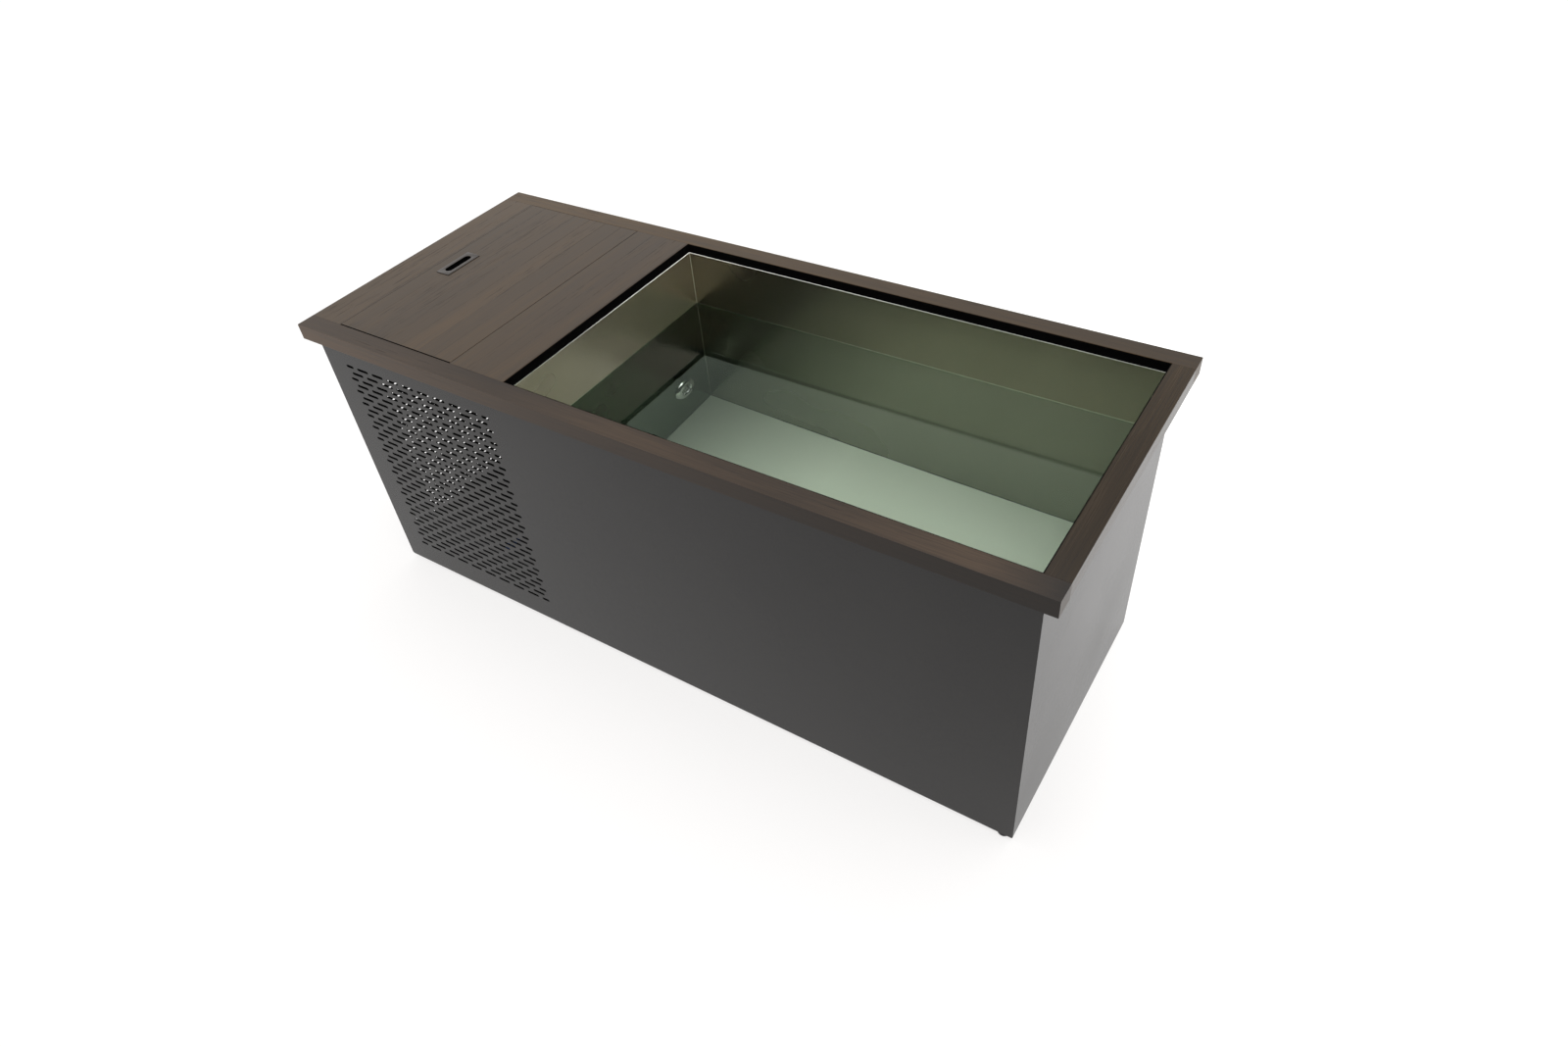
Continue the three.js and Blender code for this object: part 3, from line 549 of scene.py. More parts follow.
def tube(bm, pts, r, sides=20, bore=0.0):
    """Round tube along a centre line; open bore if given, otherwise flat ends."""
    tang = [(pts[min(i + 1, len(pts) - 1)] - pts[max(i - 1, 0)]).normalized() for i in range(len(pts))]
    u = tang[0].orthogonal().normalized()
    loops = []
    for i, p in enumerate(pts):
        if i:
            u = (u - tang[i] * u.dot(tang[i])).normalized()
        w = tang[i].cross(u)
        loops.append([[bm.verts.new(p + (u * math.cos(a) + w * math.sin(a)) * q) for a in [2 * math.pi * k / sides for k in range(sides)]]
                      for q in ((r, bore) if bore else (r,))])
    for c in range(2 if bore else 1):
        for a, b in zip(loops, loops[1:]):
            for k in range(sides):
                j = (k + 1) % sides
                bm.faces.new((a[c][k], a[c][j], b[c][j], b[c][k]))
    for e in (loops[0], loops[-1]):
        if bore:
            for k in range(sides):
                j = (k + 1) % sides
                bm.faces.new((e[0][k], e[0][j], e[1][j], e[1][k]))
        else:
            bm.faces.new(e[0])


# ------------------------------------------------------------------ camera
cam = bpy.data.cameras.new("camera")
cam.sensor_fit = "HORIZONTAL"
cam.sensor_width = 36.0
cam.lens = 1057.909 / 1600 * 36.0
cam.clip_end = 100
co = bpy.data.objects.new("camera", cam)
bpy.context.scene.collection.objects.link(co)
right = Vector((0.842162, 0.534004, -0.074848)).normalized()
down = Vector((0.31577, -0.600914, -0.734297))
fwd = right.cross(down).normalized()
down = fwd.cross(right).normalized()
rot = Matrix((right, -down, -fwd)).transposed()
co.matrix_world = Matrix.Translation((1.12637, -1.3608, 1.80865)) @ rot.to_4x4()
bpy.context.scene.camera = co

# ------------------------------------------------------------------ studio
sc = bpy.context.scene
sc.view_settings.view_transform = "Standard"
sc.view_settings.look = "None"
sc.view_settings.exposure = 0.0
sc.view_settings.gamma = 1.0

w = bpy.data.worlds.new("studio")
sc.world = w
w.use_nodes = True
nt = w.node_tree
nt.nodes.clear()
wo = nt.nodes.new("ShaderNodeOutputWorld")
bg = nt.nodes.new("ShaderNodeBackground")
tc = nt.nodes.new("ShaderNodeTexCoord")
sp = nt.nodes.new("ShaderNodeSeparateXYZ")
cr = nt.nodes.new("ShaderNodeValToRGB")
nt.links.new(tc.outputs["Generated"], sp.inputs[0])
nt.links.new(sp.outputs["Z"], cr.inputs["Fac"])
SKY = [(0.30, 1.20), (0.63, 0.98), (0.78, 1.05), (0.96, 1.50)]
while len(cr.color_ramp.elements) < len(SKY):
    cr.color_ramp.elements.new(0.5)
for e, (pos, k) in zip(cr.color_ramp.elements, SKY):
    e.position = pos
    e.color = (k, k * 0.993, k * 0.986, 1)
nt.links.new(cr.outputs["Color"], bg.inputs["Color"])
bg.inputs["Strength"].default_value = 1.0
nt.links.new(bg.outputs[0], wo.inputs["Surface"])

bm = bmesh.new()
bmesh.ops.create_grid(bm, x_segments=1, y_segments=1, size=30)
me = bpy.data.meshes.new("floor")
bm.to_mesh(me)
bm.free()
floor = bpy.data.objects.new("floor", me)
sc.collection.objects.link(floor)
ft = Tree("floor").set(Roughness=0.9, Specular_IOR_Level=0.1)
ft.p.inputs["Base Color"].default_value = (0.275, 0.275, 0.275, 1)
fx, fy, fz = ft.sep(ft.coord())
# the sweep gets brighter towards the back right
glow = ft.range(ft.math("ADD", fx, fy), 0.6, 2.2, 0.0, 1.0)
ft.to(ft.ramp(glow, [(0.0, (0.715, 0.706, 0.700)), (1.0, (1.0, 0.99, 0.98))]), "Emission Color")
ft.p.inputs["Emission Strength"].default_value = 1.0
me.materials.append(ft.done())


def lamp(name, loc, target, size, power, colour=(1, 1, 1)):
    li = bpy.data.lights.new(name, "AREA")
    li.shape = "RECTANGLE"
    li.size, li.size_y = size
    li.energy = power
    li.color = colour
    lo = bpy.data.objects.new(name, li)
    sc.collection.objects.link(lo)
    lo.location = loc
    lo.rotation_euler = (Vector(target) - Vector(loc)).to_track_quat("-Z", "Y").to_euler()
    return lo


lamp("soft_top", (0.6, 0.6, 4.2), (0.2, 0, 0.3), (4.0, 3.0), 60)

# ------------------------------------------------------------------ cabinet panels with the slot grilles
FX0, FX1, FY0, FY1, ZB, ZT, TH = -0.834, 0.820, -0.320, 0.305, 0.012, 0.6697, 0.002
EDGE = 0.0004
ROWS, PITCH_Z, TOP_Z = 33, 0.01657, 0.6093
SLOT, SLOT_H, PITCH = 0.0346, 0.0066, 0.0470


def brick(u0, high=SLOT_H):
    """Staggered rows of short oblong slots, a shortened one at each end of every other row."""
    holes = []
    for r in range(ROWS):
        z = TOP_Z - r * PITCH_Z
        if r % 2 == 0:
            cells = [(0.0, 0.0226)] + [(0.0348 + k * PITCH, 0.0348 + k * PITCH + SLOT) for k in range(8)] + [(0.4108, 0.4318)]
        else:
            cells = [(0.0113 + k * PITCH, 0.0113 + k * PITCH + SLOT) for k in range(9)]
        for a, b in cells:
            holes.append([(u0 + u, z + v) for u, v in slot_outline(a, b, high, 5)])
    return holes


# front
bm = upright(plate(rounded_rect(FX0, FX1, ZB, ZT, (0.006, 0.002, 0, 0)), brick(-0.7712), TH, EDGE), 0, (0, FY0 + TH / 2, 0))
box_bm(bm, FX0 + 0.019, -0.316, FY0 + TH - 0.0003, FY0 + 0.030, ZT - 0.002, ZT - 0.0001)
box_bm(bm, -0.317, FX1 - 0.018, FY0 + TH - 0.0003, FY0 + 0.017, ZT - 0.002, ZT - 0.0001)
box_bm(bm, FX0 + 0.052, FX1 - 0.052, FY0 + TH - 0.0003, FY0 + 0.017, ZB + 0.0001, ZB + 0.002)
obj("front_panel_skin", bm, "powder_slot_shade", replaces=["front_panel"])

# left end: the same grille and a hole for the drain; u runs towards the front here
MIDY = (FY0 + FY1) / 2
y0, y1 = FY0 + TH + 0.0003, FY1 - TH - 0.0003
holes = brick(-MIDY - 0.2159, 0.0050) + [round_hole(0.262, 0.104, 0.017)]
bm = upright(plate(rounded_rect(-y1, -y0, ZB, ZT, (0, 0, 0, 0)), holes, TH, EDGE), -90, (FX0 + TH / 2, 0, 0))
for a, b in ((y0, y0 + 0.002), (y1 - 0.002, y1)):
    box_bm(bm, FX0 + TH - 0.0003, FX0 + 0.017, a, b, 0.016, 0.662)
box_bm(bm, FX0 + TH - 0.0003, FX0 + 0.017, y0 + 0.016, y1 - 0.016, ZT - 0.002, ZT - 0.0001)
box_bm(bm, FX0 + TH - 0.0003, FX0 + 0.017, y0 + 0.036, y1 - 0.036, ZB + 0.0001, ZB + 0.002)
obj("left_panel_skin", bm, "powder_slot_shade", replaces=["left_panel"])

for n in ("right_panel", "back_panel"):
    dress(n, "powder", 0.0005, 2)

# button-head screws hold the back panel
bm = bmesh.new()
for x in (-0.800, -0.500, -0.200, 0.090, 0.380, 0.600, 0.786):
    for z in (0.030, 0.640):
        turned(bm, [(0, -0.0006), (0.0055, -0.0006), (0.0055, 0.0004), (0.0046, 0.0018), (0.0030, 0.0026), (0.0026, 0.0026), (0.0026, 0.0008), (0, 0.0008)], "Y", (x, FY1, z), 24)
obj("back_panel_screws", bm, "black", smooth=40)

# ------------------------------------------------------------------ base, feet, foam, bulkhead
for n in ("base_rail_front", "base_rail_back", "base_crossmember"):
    dress(n, "zinc", 0.001)
for n in ("base_pan", "bulkhead"):
    dress(n, "bay")
dress("insulation_jacket", "foam")
for n, b in (("foot_front_left", "front_left_foot"), ("foot_front_right", "front_right_foot"), ("foot_back_left", "back_left_foot"), ("foot_back_right", "back_right_foot")):
    lo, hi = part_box(n)
    c = ((lo.x + hi.x) / 2, (lo.y + hi.y) / 2, 0.0)
    bm = bmesh.new()
    turned(bm, [(0, 0), (0.0115, 0), (0.0125, 0.0006), (0.013, 0.0018), (0.013, 0.0062), (0.0126, 0.0074), (0.0115, 0.0082), (0.0086, 0.0088),
                (0.0086, 0.0125), (0.008, 0.0136), (0.005, 0.0137), (0.005, 0.040), (0, 0.040)], "Z", c, 36)
    obj(n + "_pad", bm, "foot", b, 35, [n])

# ------------------------------------------------------------------ timber deck
dress("deck_front_rail", "wood_rail", 0.0009, 3)
dress("deck_back_rail", "wood_back", 0.0009, 3)
dress("deck_left_board", "wood_deck", 0.0003, 2)
dress("deck_mid_board", "wood_deck", 0.0003, 2)
dress("deck_right_board", "wood_right", 0.0003, 2)
dress("hatch_lid", "wood_deck", 0.0003, 2)
for n in ("hatch_batten_front", "hatch_batten_back"):
    dress(n, "wood_back", 0.002, 3)
for n in ("hatch_hinge_fixed", "hatch_hinge_moving"):
    dress(n, "hinge", 0.0006)

# dark strip along the front and back edges of the lid: painted shade standing in for the dark seam round the lid
bm = bmesh.new()
box_bm(bm, -0.7600, -0.4320, -0.3011, -0.2998, 0.6720, 0.7040)
box_bm(bm, -0.7600, -0.4320, -0.3016, -0.2989, 0.70495, 0.7053)
box_bm(bm, -0.7600, -0.4320, 0.3008, 0.3010, 0.6720, 0.7040)
obj("hatch_seam_shade", bm, "rubber", "hatch")

# pull: raised plate with an oblong hole over a dark cup
PX, PY, PW, PL, SW, SL, H = -0.7173, 0.003, 0.038, 0.099, 0.019, 0.074, 0.705
bm = plate(rounded_rect(-PW / 2, PW / 2, -PL / 2, PL / 2, (0.0012,) * 4, 3),
           [[(v, u) for u, v in slot_outline(-SL / 2, SL / 2, SW, 14)][::-1]], 0.0006, 0.00025)
bmesh.ops.transform(bm, matrix=Matrix.Translation((PX, PY, H + 0.0009)), verts=bm.verts)
obj("hatch_pull_plate", bm, "pull", "hatch", 30, ["hatch_pull"])
bm = plate(rounded_rect(-PW / 2 + 0.0002, PW / 2 - 0.0002, -PL / 2 + 0.0002, PL / 2 - 0.0002, (0.0012,) * 4, 3),
           [[(v, u) for u, v in slot_outline(-SL / 2 - 0.0004, SL / 2 + 0.0004, SW + 0.0008, 14)][::-1]], 0.0026, 0.0)
bmesh.ops.transform(bm, matrix=Matrix.Translation((PX, PY, H - 0.0007)), verts=bm.verts)
obj("hatch_pull_base", bm, "cup", "hatch")
bm = bmesh.new()
rings = []
CW, CL, CZ = 0.0135, 0.042, 0.684
for inset, z in ((0.0, H - 0.001), (0.0, CZ), (0.002, CZ + 0.002), (0.002, H - 0.001)):
    loop = rounded_rect(-CW + inset, CW - inset, -CL + inset, CL - inset, (0.006,) * 4, 6)
    rings.append([bm.verts.new((PX + u, PY + v, z)) for u, v in loop])
n = len(rings[0])
for a, b in ((0, 1), (3, 0), (2, 3)):
    for i in range(n):
        j = (i + 1) % n
        bm.faces.new((rings[a][i], rings[a][j], rings[b][j], rings[b][i]))
bm.faces.new(rings[1])
bm.faces.new(rings[2])
obj("hatch_pull_cup", bm, "cup", "hatch", 40)

# ------------------------------------------------------------------ tub
for n in ("tub_floor", "tub_left_wall", "tub_right_wall", "tub_front_wall", "tub_back_wall"):
    dress(n, "steel_floor" if n == "tub_floor" else "steel")
dress("rim_gasket", "rubber", 0.0004, 2)

# weld beads run down the four inside corners and round the floor
TX0, TX1, TY, TF, TR = -0.2795, 0.8025, 0.2967, 0.070, 0.686


def bead(bm, a, b, side1, side2, r, step=0.006, wob=0.2):
    """A narrow concave fillet from a to b, between two walls whose inward directions are side1 and side2."""
    a, b = Vector(a), Vector(b)
    s1, s2 = Vector(side1), Vector(side2)
    n = max(2, int((b - a).length / step))
    prev = None
    for i in range(n + 1):
        p = a.lerp(b, i / n)
        q = r * (1 + wob * math.sin(i * 2.1) * 0.5 + wob * (random.random() - 0.5))
        ring = [bm.verts.new(p + s1 * q), bm.verts.new(p + (s1 + s2) * q * 0.36), bm.verts.new(p + s2 * q)]
        if prev:
            for k in range(2):
                bm.faces.new((prev[k], prev[k + 1], ring[k + 1], ring[k]))
        prev = ring


bm = bmesh.new()
for x, sx in ((TX0, 1), (TX1, -1)):
    for y, sy in ((-TY, 1), (TY, -1)):
        bead(bm, (x, y, TF), (x, y, TR - 0.001), (sx, 0, 0), (0, sy, 0), 0.0010)
obj("tub_corner_beads", bm, "steel", smooth=60)
bm = bmesh.new()
for y, sy in ((-TY, 1), (TY, -1)):
    bead(bm, (TX0, y, TF), (TX1, y, TF), (0, sy, 0), (0, 0, 1), 0.0016, 0.012)
for x, sx in ((TX0, 1), (TX1, -1)):
    bead(bm, (x, -TY, TF), (x, TY, TF), (sx, 0, 0), (0, 0, 1), 0.0016, 0.012)
obj("tub_floor_bead", bm, "weld", smooth=60)

# the rim's edge is dressed smooth and bright
bm = bmesh.new()
loops = []
for d, z in ((0.0001, -0.0012), (-0.0001, -0.0004), (0.0001, 0.0003), (0.0006, 0.0006), (0.0018, 0.0006), (0.0023, 0.0003), (0.0024, -0.0012)):
    loops.append([bm.verts.new((x, y, TR + z)) for x, y in ((TX0 - d, -TY - d), (TX1 + d, -TY - d), (TX1 + d, TY + d), (TX0 - d, TY + d))])
for a, b in zip(loops, loops[1:]):
    for i in range(4):
        j = (i + 1) % 4
        bm.faces.new((a[i], a[j], b[j], b[i]))
obj("tub_rim_edge", bm, "rim", smooth=50)

# water, a little into the steel all round so that no gap shows, rising slightly where it meets the walls
WZ = 0.5555
bm = bmesh.new()
loops = []
for d, z in ((-0.001, TF - 0.001), (-0.001, WZ + 0.0018), (0.0003, WZ + 0.0014), (0.0012, WZ + 0.0007), (0.0024, WZ + 0.0002), (0.0040, WZ)):
    loops.append([bm.verts.new((x, y, z)) for x, y in ((TX0 + d, -TY + d), (TX1 - d, -TY + d), (TX1 - d, TY - d), (TX0 + d, TY - d))])
for a, b in zip(loops, loops[1:]):
    for i in range(4):
        j = (i + 1) % 4
        bm.faces.new((a[i], a[j], b[j], b[i]))
bm.faces.new(loops[0])
bm.faces.new(loops[-1])
obj("water_fill", bm, "water")

# ------------------------------------------------------------------ fittings through the tub's left wall
END_X, IN_X = -0.330, TX0 + 0.0003
LEN = IN_X - END_X


def fitting(name, c, body, flange, bore, proud, node):
    bm = bmesh.new()
    prof = [(bore, 0), (body, 0), (body, LEN), (flange, LEN), (flange, LEN + 0.0022), (flange - 0.0006, LEN + 0.0032), (flange - 0.0045, LEN + proud - 0.0006),
            (flange - 0.0056, LEN + proud), (bore + 0.002, LEN + proud), (bore, LEN + proud - 0.002), (bore, 0)]
    turned(bm, prof, "X", (END_X, *c), 56)
    return bm


bm = fitting("suction", (0.201, 0.214), 0.020, 0.036, 0.0175, 0.009, "suction_fitting")
for i in range(3):
    turned(bm, [(0.0045 + i * 0.0055, -0.001), (0.0066 + i * 0.0055, -0.001), (0.0066 + i * 0.0055, 0.001), (0.0045 + i * 0.0055, 0.001), (0.0045 + i * 0.0055, -0.001)], "X", (IN_X + 0.0055, 0.201, 0.214), 40)
for a in (0, 60, 120):
    t = bmesh.new()
    box_bm(t, -0.001, 0.001, -0.0176, 0.0176, -0.001, 0.001)
    bmesh.ops.transform(t, matrix=Matrix.Translation((IN_X + 0.0050, 0.201, 0.214)) @ Matrix.Rotation(math.radians(a + 15), 4, "X"), verts=t.verts)
    tm = bpy.data.meshes.new("bar")
    t.to_mesh(tm)
    t.free()
    bm.from_mesh(tm)
    bpy.data.meshes.remove(tm)
obj("suction_strainer", bm, "chrome", smooth=35, replaces=["suction_fitting"])
obj("return_eyeball", fitting("return", (-0.200, 0.400), 0.017, 0.030, 0.010, 0.012, ""), "chrome", smooth=35, replaces=["return_nozzle"])
obj("drain_grommet", fitting("drain", (-0.262, 0.104), 0.015, 0.025, 0.011, 0.005, ""), "chrome", smooth=35, replaces=["drain_fitting"])

# ------------------------------------------------------------------ pump
mm = 0.001
PXA, PZA, PYA = -0.400, 0.115, -0.100
bm = bmesh.new()
turned(bm, [(0, 0.0003), (0.055, 0.0003), (0.055, 0.007), (0.051, 0.008), (0.051, 0.036), (0.049, 0.039), (0.040, 0.043), (0.020, 0.0445), (0.018, 0.046), (0.018, 0.060), (0.0135, 0.060),
            (0.0135, 0.045), (0, 0.045)], "Y", (PXA, PYA, PZA), 56)
turned(bm, [(0, 0.030), (0.0152, 0.030), (0.0152, 0.060), (0.0165, 0.062), (0.0165, 0.070), (0.0152, 0.072), (0.011, 0.072), (0.011, 0.055), (0, 0.055)], "Z", (PXA, PYA + 0.020, PZA), 40)
for i in range(6):
    a = 2 * math.pi * (i + 0.5) / 6
    turned(bm, [(0, 0.006), (0.0042, 0.006), (0.0042, 0.0105), (0.0034, 0.0115), (0, 0.0115)], "Y", (PXA + 0.0532 * math.cos(a) * 0.985, PYA, PZA + 0.0532 * math.sin(a) * 0.985), 6)
obj("pump_volute_body", bm, "paint", smooth=35, replaces=["pump_volute"])
dress("pump_impeller", "black")

bm = bmesh.new()
turned(bm, [(0, -0.122), (0.034, -0.122), (0.041, -0.119), (0.0455, -0.112), (0.0455, -0.094), (0.042, -0.092), (0.042, -0.012), (0.050, -0.010), (0.050, 0), (0, 0)], "Y", (PXA, PYA, PZA), 56)
for i in range(26):
    a = 2 * math.pi * i / 26
    if -1.0 < math.sin(a) < -0.80:
        continue
    t = bmesh.new()
    box_bm(t, 0.0405, 0.0462, -0.091, -0.011, -0.0009, 0.0009)
    bmesh.ops.transform(t, matrix=Matrix.Translation((PXA, PYA, PZA)) @ Matrix.Rotation(-a, 4, "Y"), verts=t.verts)
    tm = bpy.data.meshes.new("fin")
    t.to_mesh(tm)
    t.free()
    bm.from_mesh(tm)
    bpy.data.meshes.remove(tm)
soft_box(bm, PXA - 0.022, PXA + 0.022, PYA - 0.080, PYA - 0.030, PZA + 0.036, PZA + 0.058, 0.003)
soft_box(bm, PXA - 0.028, PXA + 0.028, PYA - 0.095, PYA - 0.035, 0.0475, PZA - 0.030, 0.002)
soft_box(bm, PXA - 0.045, PXA + 0.045, PYA - 0.100, PYA - 0.030, 0.0469, 0.0516, 0.001)
obj("pump_motor_body", bm, "paint", smooth=35, replaces=["pump_motor"])

# ------------------------------------------------------------------ filter
FXC, FYC, FZ = -0.530, 0.020, 0.0469
bm = bmesh.new()
turned(bm, [(0, 0), (0.054, 0), (0.058, 0.0015), (0.060, 0.005), (0.060, 0.362), (0.0625, 0.366), (0.0625, 0.380), (0.066, 0.383), (0.066, 0.393), (0.055, 0.393), (0.055, 0.008), (0, 0.008)], "Z", (FXC, FYC, FZ), 64)
for z in (0.380, 0.090):
    turned(bm, [(0.010, 0.0575), (0.0165, 0.0575), (0.0165, 0.0640), (0.014, 0.0655), (0.014, 0.0745), (0.010, 0.0745), (0.010, 0.0575)], "X", (FXC, FYC, z), 36)
obj("filter_vessel", bm, "grey", smooth=35, replaces=["filter_housing"])
CZC = FZ + 0.393 + 0.0003
bm = bmesh.new()
n = 96
prof = [(0, -0.014), (0.054, -0.014), (0.054, 0.0), (0.0665, 0.0), (0.0680, 0.0015), (0.0680, 0.0200), (0.0660, 0.0235), (0.060, 0.0258), (0.030, 0.0262), (0, 0.0262)]
rings = []
for r, d in prof:
    if r == 0:
        rings.append([bm.verts.new((FXC, FYC, CZC + d))])
        continue
    ring = []
    for i in range(n):
        q = r - (0.0014 if (r > 0.067 and i % 4 in (0, 1)) else 0.0)
        ring.append(bm.verts.new((FXC + q * math.cos(2 * math.pi * i / n), FYC + q * math.sin(2 * math.pi * i / n), CZC + d)))
    rings.append(ring)
for a, b in zip(rings, rings[1:]):
    for i in range(n):
        j = (i + 1) % n
        bm.faces.new((a[0], b[j], b[i]) if len(a) == 1 else (a[i], a[j], b[0]) if len(b) == 1 else (a[i], a[j], b[j], b[i]))
soft_box(bm, FXC - 0.048, FXC + 0.048, FYC - 0.007, FYC + 0.007, CZC + 0.022, CZC + 0.046, 0.003, 3)
obj("filter_cap_grip", bm, "black", "filter_lid", 35, ["filter_cap"])
bm = bmesh.new()
n, zc0, zc1 = 96, 0.0552, 0.4152
rings = [[bm.verts.new((FXC + (0.042 if i % 2 else 0.0365) * math.cos(2 * math.pi * i / n), FYC + (0.042 if i % 2 else 0.0365) * math.sin(2 * math.pi * i / n), z)) for i in range(n)] for z in (zc0 + 0.006, zc1 - 0.006)]
for i in range(n):
    j = (i + 1) % n
    bm.faces.new((rings[0][i], rings[0][j], rings[1][j], rings[1][i]))
for z in (zc0, zc1 - 0.0065):
    turned(bm, [(0.014, z), (0.042, z), (0.042, z + 0.0065), (0.014, z + 0.0065), (0.014, z)], "Z", (FXC, FYC, 0), 48)
obj("filter_pleats", bm, "media", replaces=["filter_cartridge"])

# ------------------------------------------------------------------ heat exchanger and compressor
EXC, EYC = -0.450, 0.230
bm = bmesh.new()
turned(bm, [(0, 0), (0.060, 0), (0.060, 0.006), (0.066, 0.008), (0.068, 0.012), (0.068, 0.312), (0.066, 0.320), (0.060, 0.327), (0.048, 0.331), (0, 0.3335)], "Z", (EXC, EYC, FZ), 64)
for z in (0.040, 0.284):
    turned(bm, [(0.0675, z), (0.0692, z + 0.0005), (0.0692, z + 0.0125), (0.0675, z + 0.013)], "Z", (EXC, EYC, FZ), 64)
for z in (0.090, 0.340):
    turned(bm, [(0.0, -0.082), (0.0142, -0.082), (0.0142, -0.070), (0.0165, -0.069), (0.0165, -0.058), (0, -0.058)], "Y", (EXC, EYC, z), 36)
obj("exchanger_shell", bm, "black", smooth=35, replaces=["heat_exchanger"])
KXC, KYC, KZ = -0.600, 0.190, 0.0606
bm = bmesh.new()
turned(bm, [(0, 0), (0.045, 0), (0.055, 0.0035), (0.0605, 0.009), (0.0635, 0.018), (0.064, 0.026), (0.064, 0.112), (0.0662, 0.1135), (0.0662, 0.1195), (0.064, 0.121), (0.064, 0.172),
            (0.0625, 0.182), (0.0570, 0.1925), (0.047, 0.200), (0.034, 0.2045), (0, 0.208)], "Z", (KXC, KYC, KZ), 64)
soft_box(bm, KXC - 0.078, KXC + 0.078, KYC - 0.078, KYC + 0.078, 0.0586, 0.0621, 0.001)
soft_box(bm, KXC - 0.020, KXC + 0.020, KYC - 0.078, KYC - 0.055, 0.150, 0.215, 0.003)
for sx in (-1, 1):
    for sy in (-1, 1):
        turned(bm, [(0, 0), (0.009, 0), (0.0095, 0.003), (0.0078, 0.0062), (0.0095, 0.0095), (0.009, 0.0135), (0, 0.0135)], "Z", (KXC + sx * 0.066, KYC + sy * 0.066, 0.0469), 28)
        turned(bm, [(0, 0), (0.006, 0), (0.006, 0.004), (0.005, 0.005), (0, 0.005)], "Z", (KXC + sx * 0.066, KYC + sy * 0.066, 0.0620), 6)
obj("compressor_pot", bm, "paint", smooth=35, replaces=["compressor"])

# ------------------------------------------------------------------ condenser, shroud, fan, motor
bm = bmesh.new()
for x0, x1, a, b, z0, z1 in ((-0.814, -0.7705, 0.030, 0.0315, 0.060, 0.380), (-0.814, -0.7705, 0.2985, 0.300, 0.060, 0.380),
                             (-0.814, -0.7705, 0.030, 0.300, 0.0469, 0.0485), (-0.814, -0.7705, 0.030, 0.300, 0.3785, 0.380),
                             (-0.814, -0.8125, 0.030, 0.300, 0.0469, 0.066), (-0.814, -0.8125, 0.030, 0.300, 0.374, 0.380)):
    box_bm(bm, x0, x1, a, b, z0, z1)
k = 0
y = 0.0340
while y < 0.2965:
    box_bm(bm, -0.812, -0.772, y, y + 0.00035, 0.0500, 0.3775)
    y += 0.0028
obj("condenser_fins", bm, "alu", replaces=["condenser_coil"])
bm = bmesh.new()
for i in range(9):
    z = 0.076 + i * 0.0355
    for x in (-0.802, -0.782):
        tube(bm, [Vector((x, 0.0318, z)), Vector((x, 0.2982, z))], 0.0042, 14)
obj("condenser_tubes", bm, "alu", smooth=50)
bm = plate(rounded_rect(0.030, 0.300, 0.0469, 0.380, (0.003,) * 4, 3), [round_hole(0.165, 0.220, 0.082, 64)], 0.002, 0.0004)
bmesh.ops.transform(bm, matrix=Matrix.Translation((-0.739, 0, 0)) @ Matrix.Rotation(math.radians(90), 4, "Z") @ Matrix.Rotation(math.radians(90), 4, "X"), verts=bm.verts)
for a, b, z0, z1 in ((0.030, 0.040, 0.0469, 0.380), (0.290, 0.300, 0.0469, 0.380), (0.040, 0.290, 0.0469, 0.066), (0.040, 0.290, 0.370, 0.380)):
    box_bm(bm, -0.7702, -0.7398, a + 0.0001, b - 0.0001, z0 + 0.0001, z1 - 0.0001)
turned(bm, [(0.0820, -0.0210), (0.0840, -0.0210), (0.0845, -0.004), (0.0870, 0.0), (0.0820, 0.0), (0.0820, -0.0210)], "X", (-0.738, 0.165, 0.220), 64)
obj("fan_shroud_shell", bm, "black", smooth=35, replaces=["fan_shroud"])
bm = bmesh.new()
turned(bm, [(0, -0.008), (0.0250, -0.008), (0.0262, -0.0068), (0.0262, 0.0065), (0.0240, 0.008), (0.0052, 0.008), (0.0052, 0.0), (0, 0.0)], "X", (-0.749, 0.165, 0.220), 48)
for i in range(5):
    g = []
    for ir in range(9):
        r = 0.025 + (0.0772 - 0.025) * ir / 8
        pitch = math.radians(40 - 18 * ir / 8)
        half = 0.34 + 0.06 * math.sin(math.pi * ir / 8)
        row = []
        for ic in range(9):
            u = ic / 8 * 2 - 1
            a = u * half + 0.12 * ir / 8
            dx = max(-0.0068, min(0.0068, -u * half * r * math.tan(pitch) * 0.75 + 0.0015 * (1 - u * u)))
            row.append((dx, r, a))
        g.append(row)
    vt = [[[bm.verts.new((-0.749 + dx + s * 0.0008, 0.165 + r * math.sin(a + 2 * math.pi * i / 5), 0.220 + r * math.cos(a + 2 * math.pi * i / 5))) for dx, r, a in row] for row in g] for s in (-1, 1)]
    for p in range(8):
        for q in range(8):
            for s in (0, 1):
                bm.faces.new((vt[s][p][q], vt[s][p + 1][q], vt[s][p + 1][q + 1], vt[s][p][q + 1]))
    for q in range(8):
        for p in (0, 8):
            bm.faces.new((vt[0][p][q], vt[0][p][q + 1], vt[1][p][q + 1], vt[1][p][q]))
            bm.faces.new((vt[0][q][p], vt[0][q + 1][p], vt[1][q + 1][p], vt[1][q][p]))
obj("fan_rotor", bm, "black", "fan", 45, ["fan_blades"])
bm = bmesh.new()
turned(bm, [(0, -0.013), (0.004, -0.013), (0.004, 0), (0.030, 0), (0.034, 0.002), (0.034, 0.046), (0.031, 0.053), (0.026, 0.056), (0, 0.056)], "X", (-0.7365, 0.165, 0.220), 48)
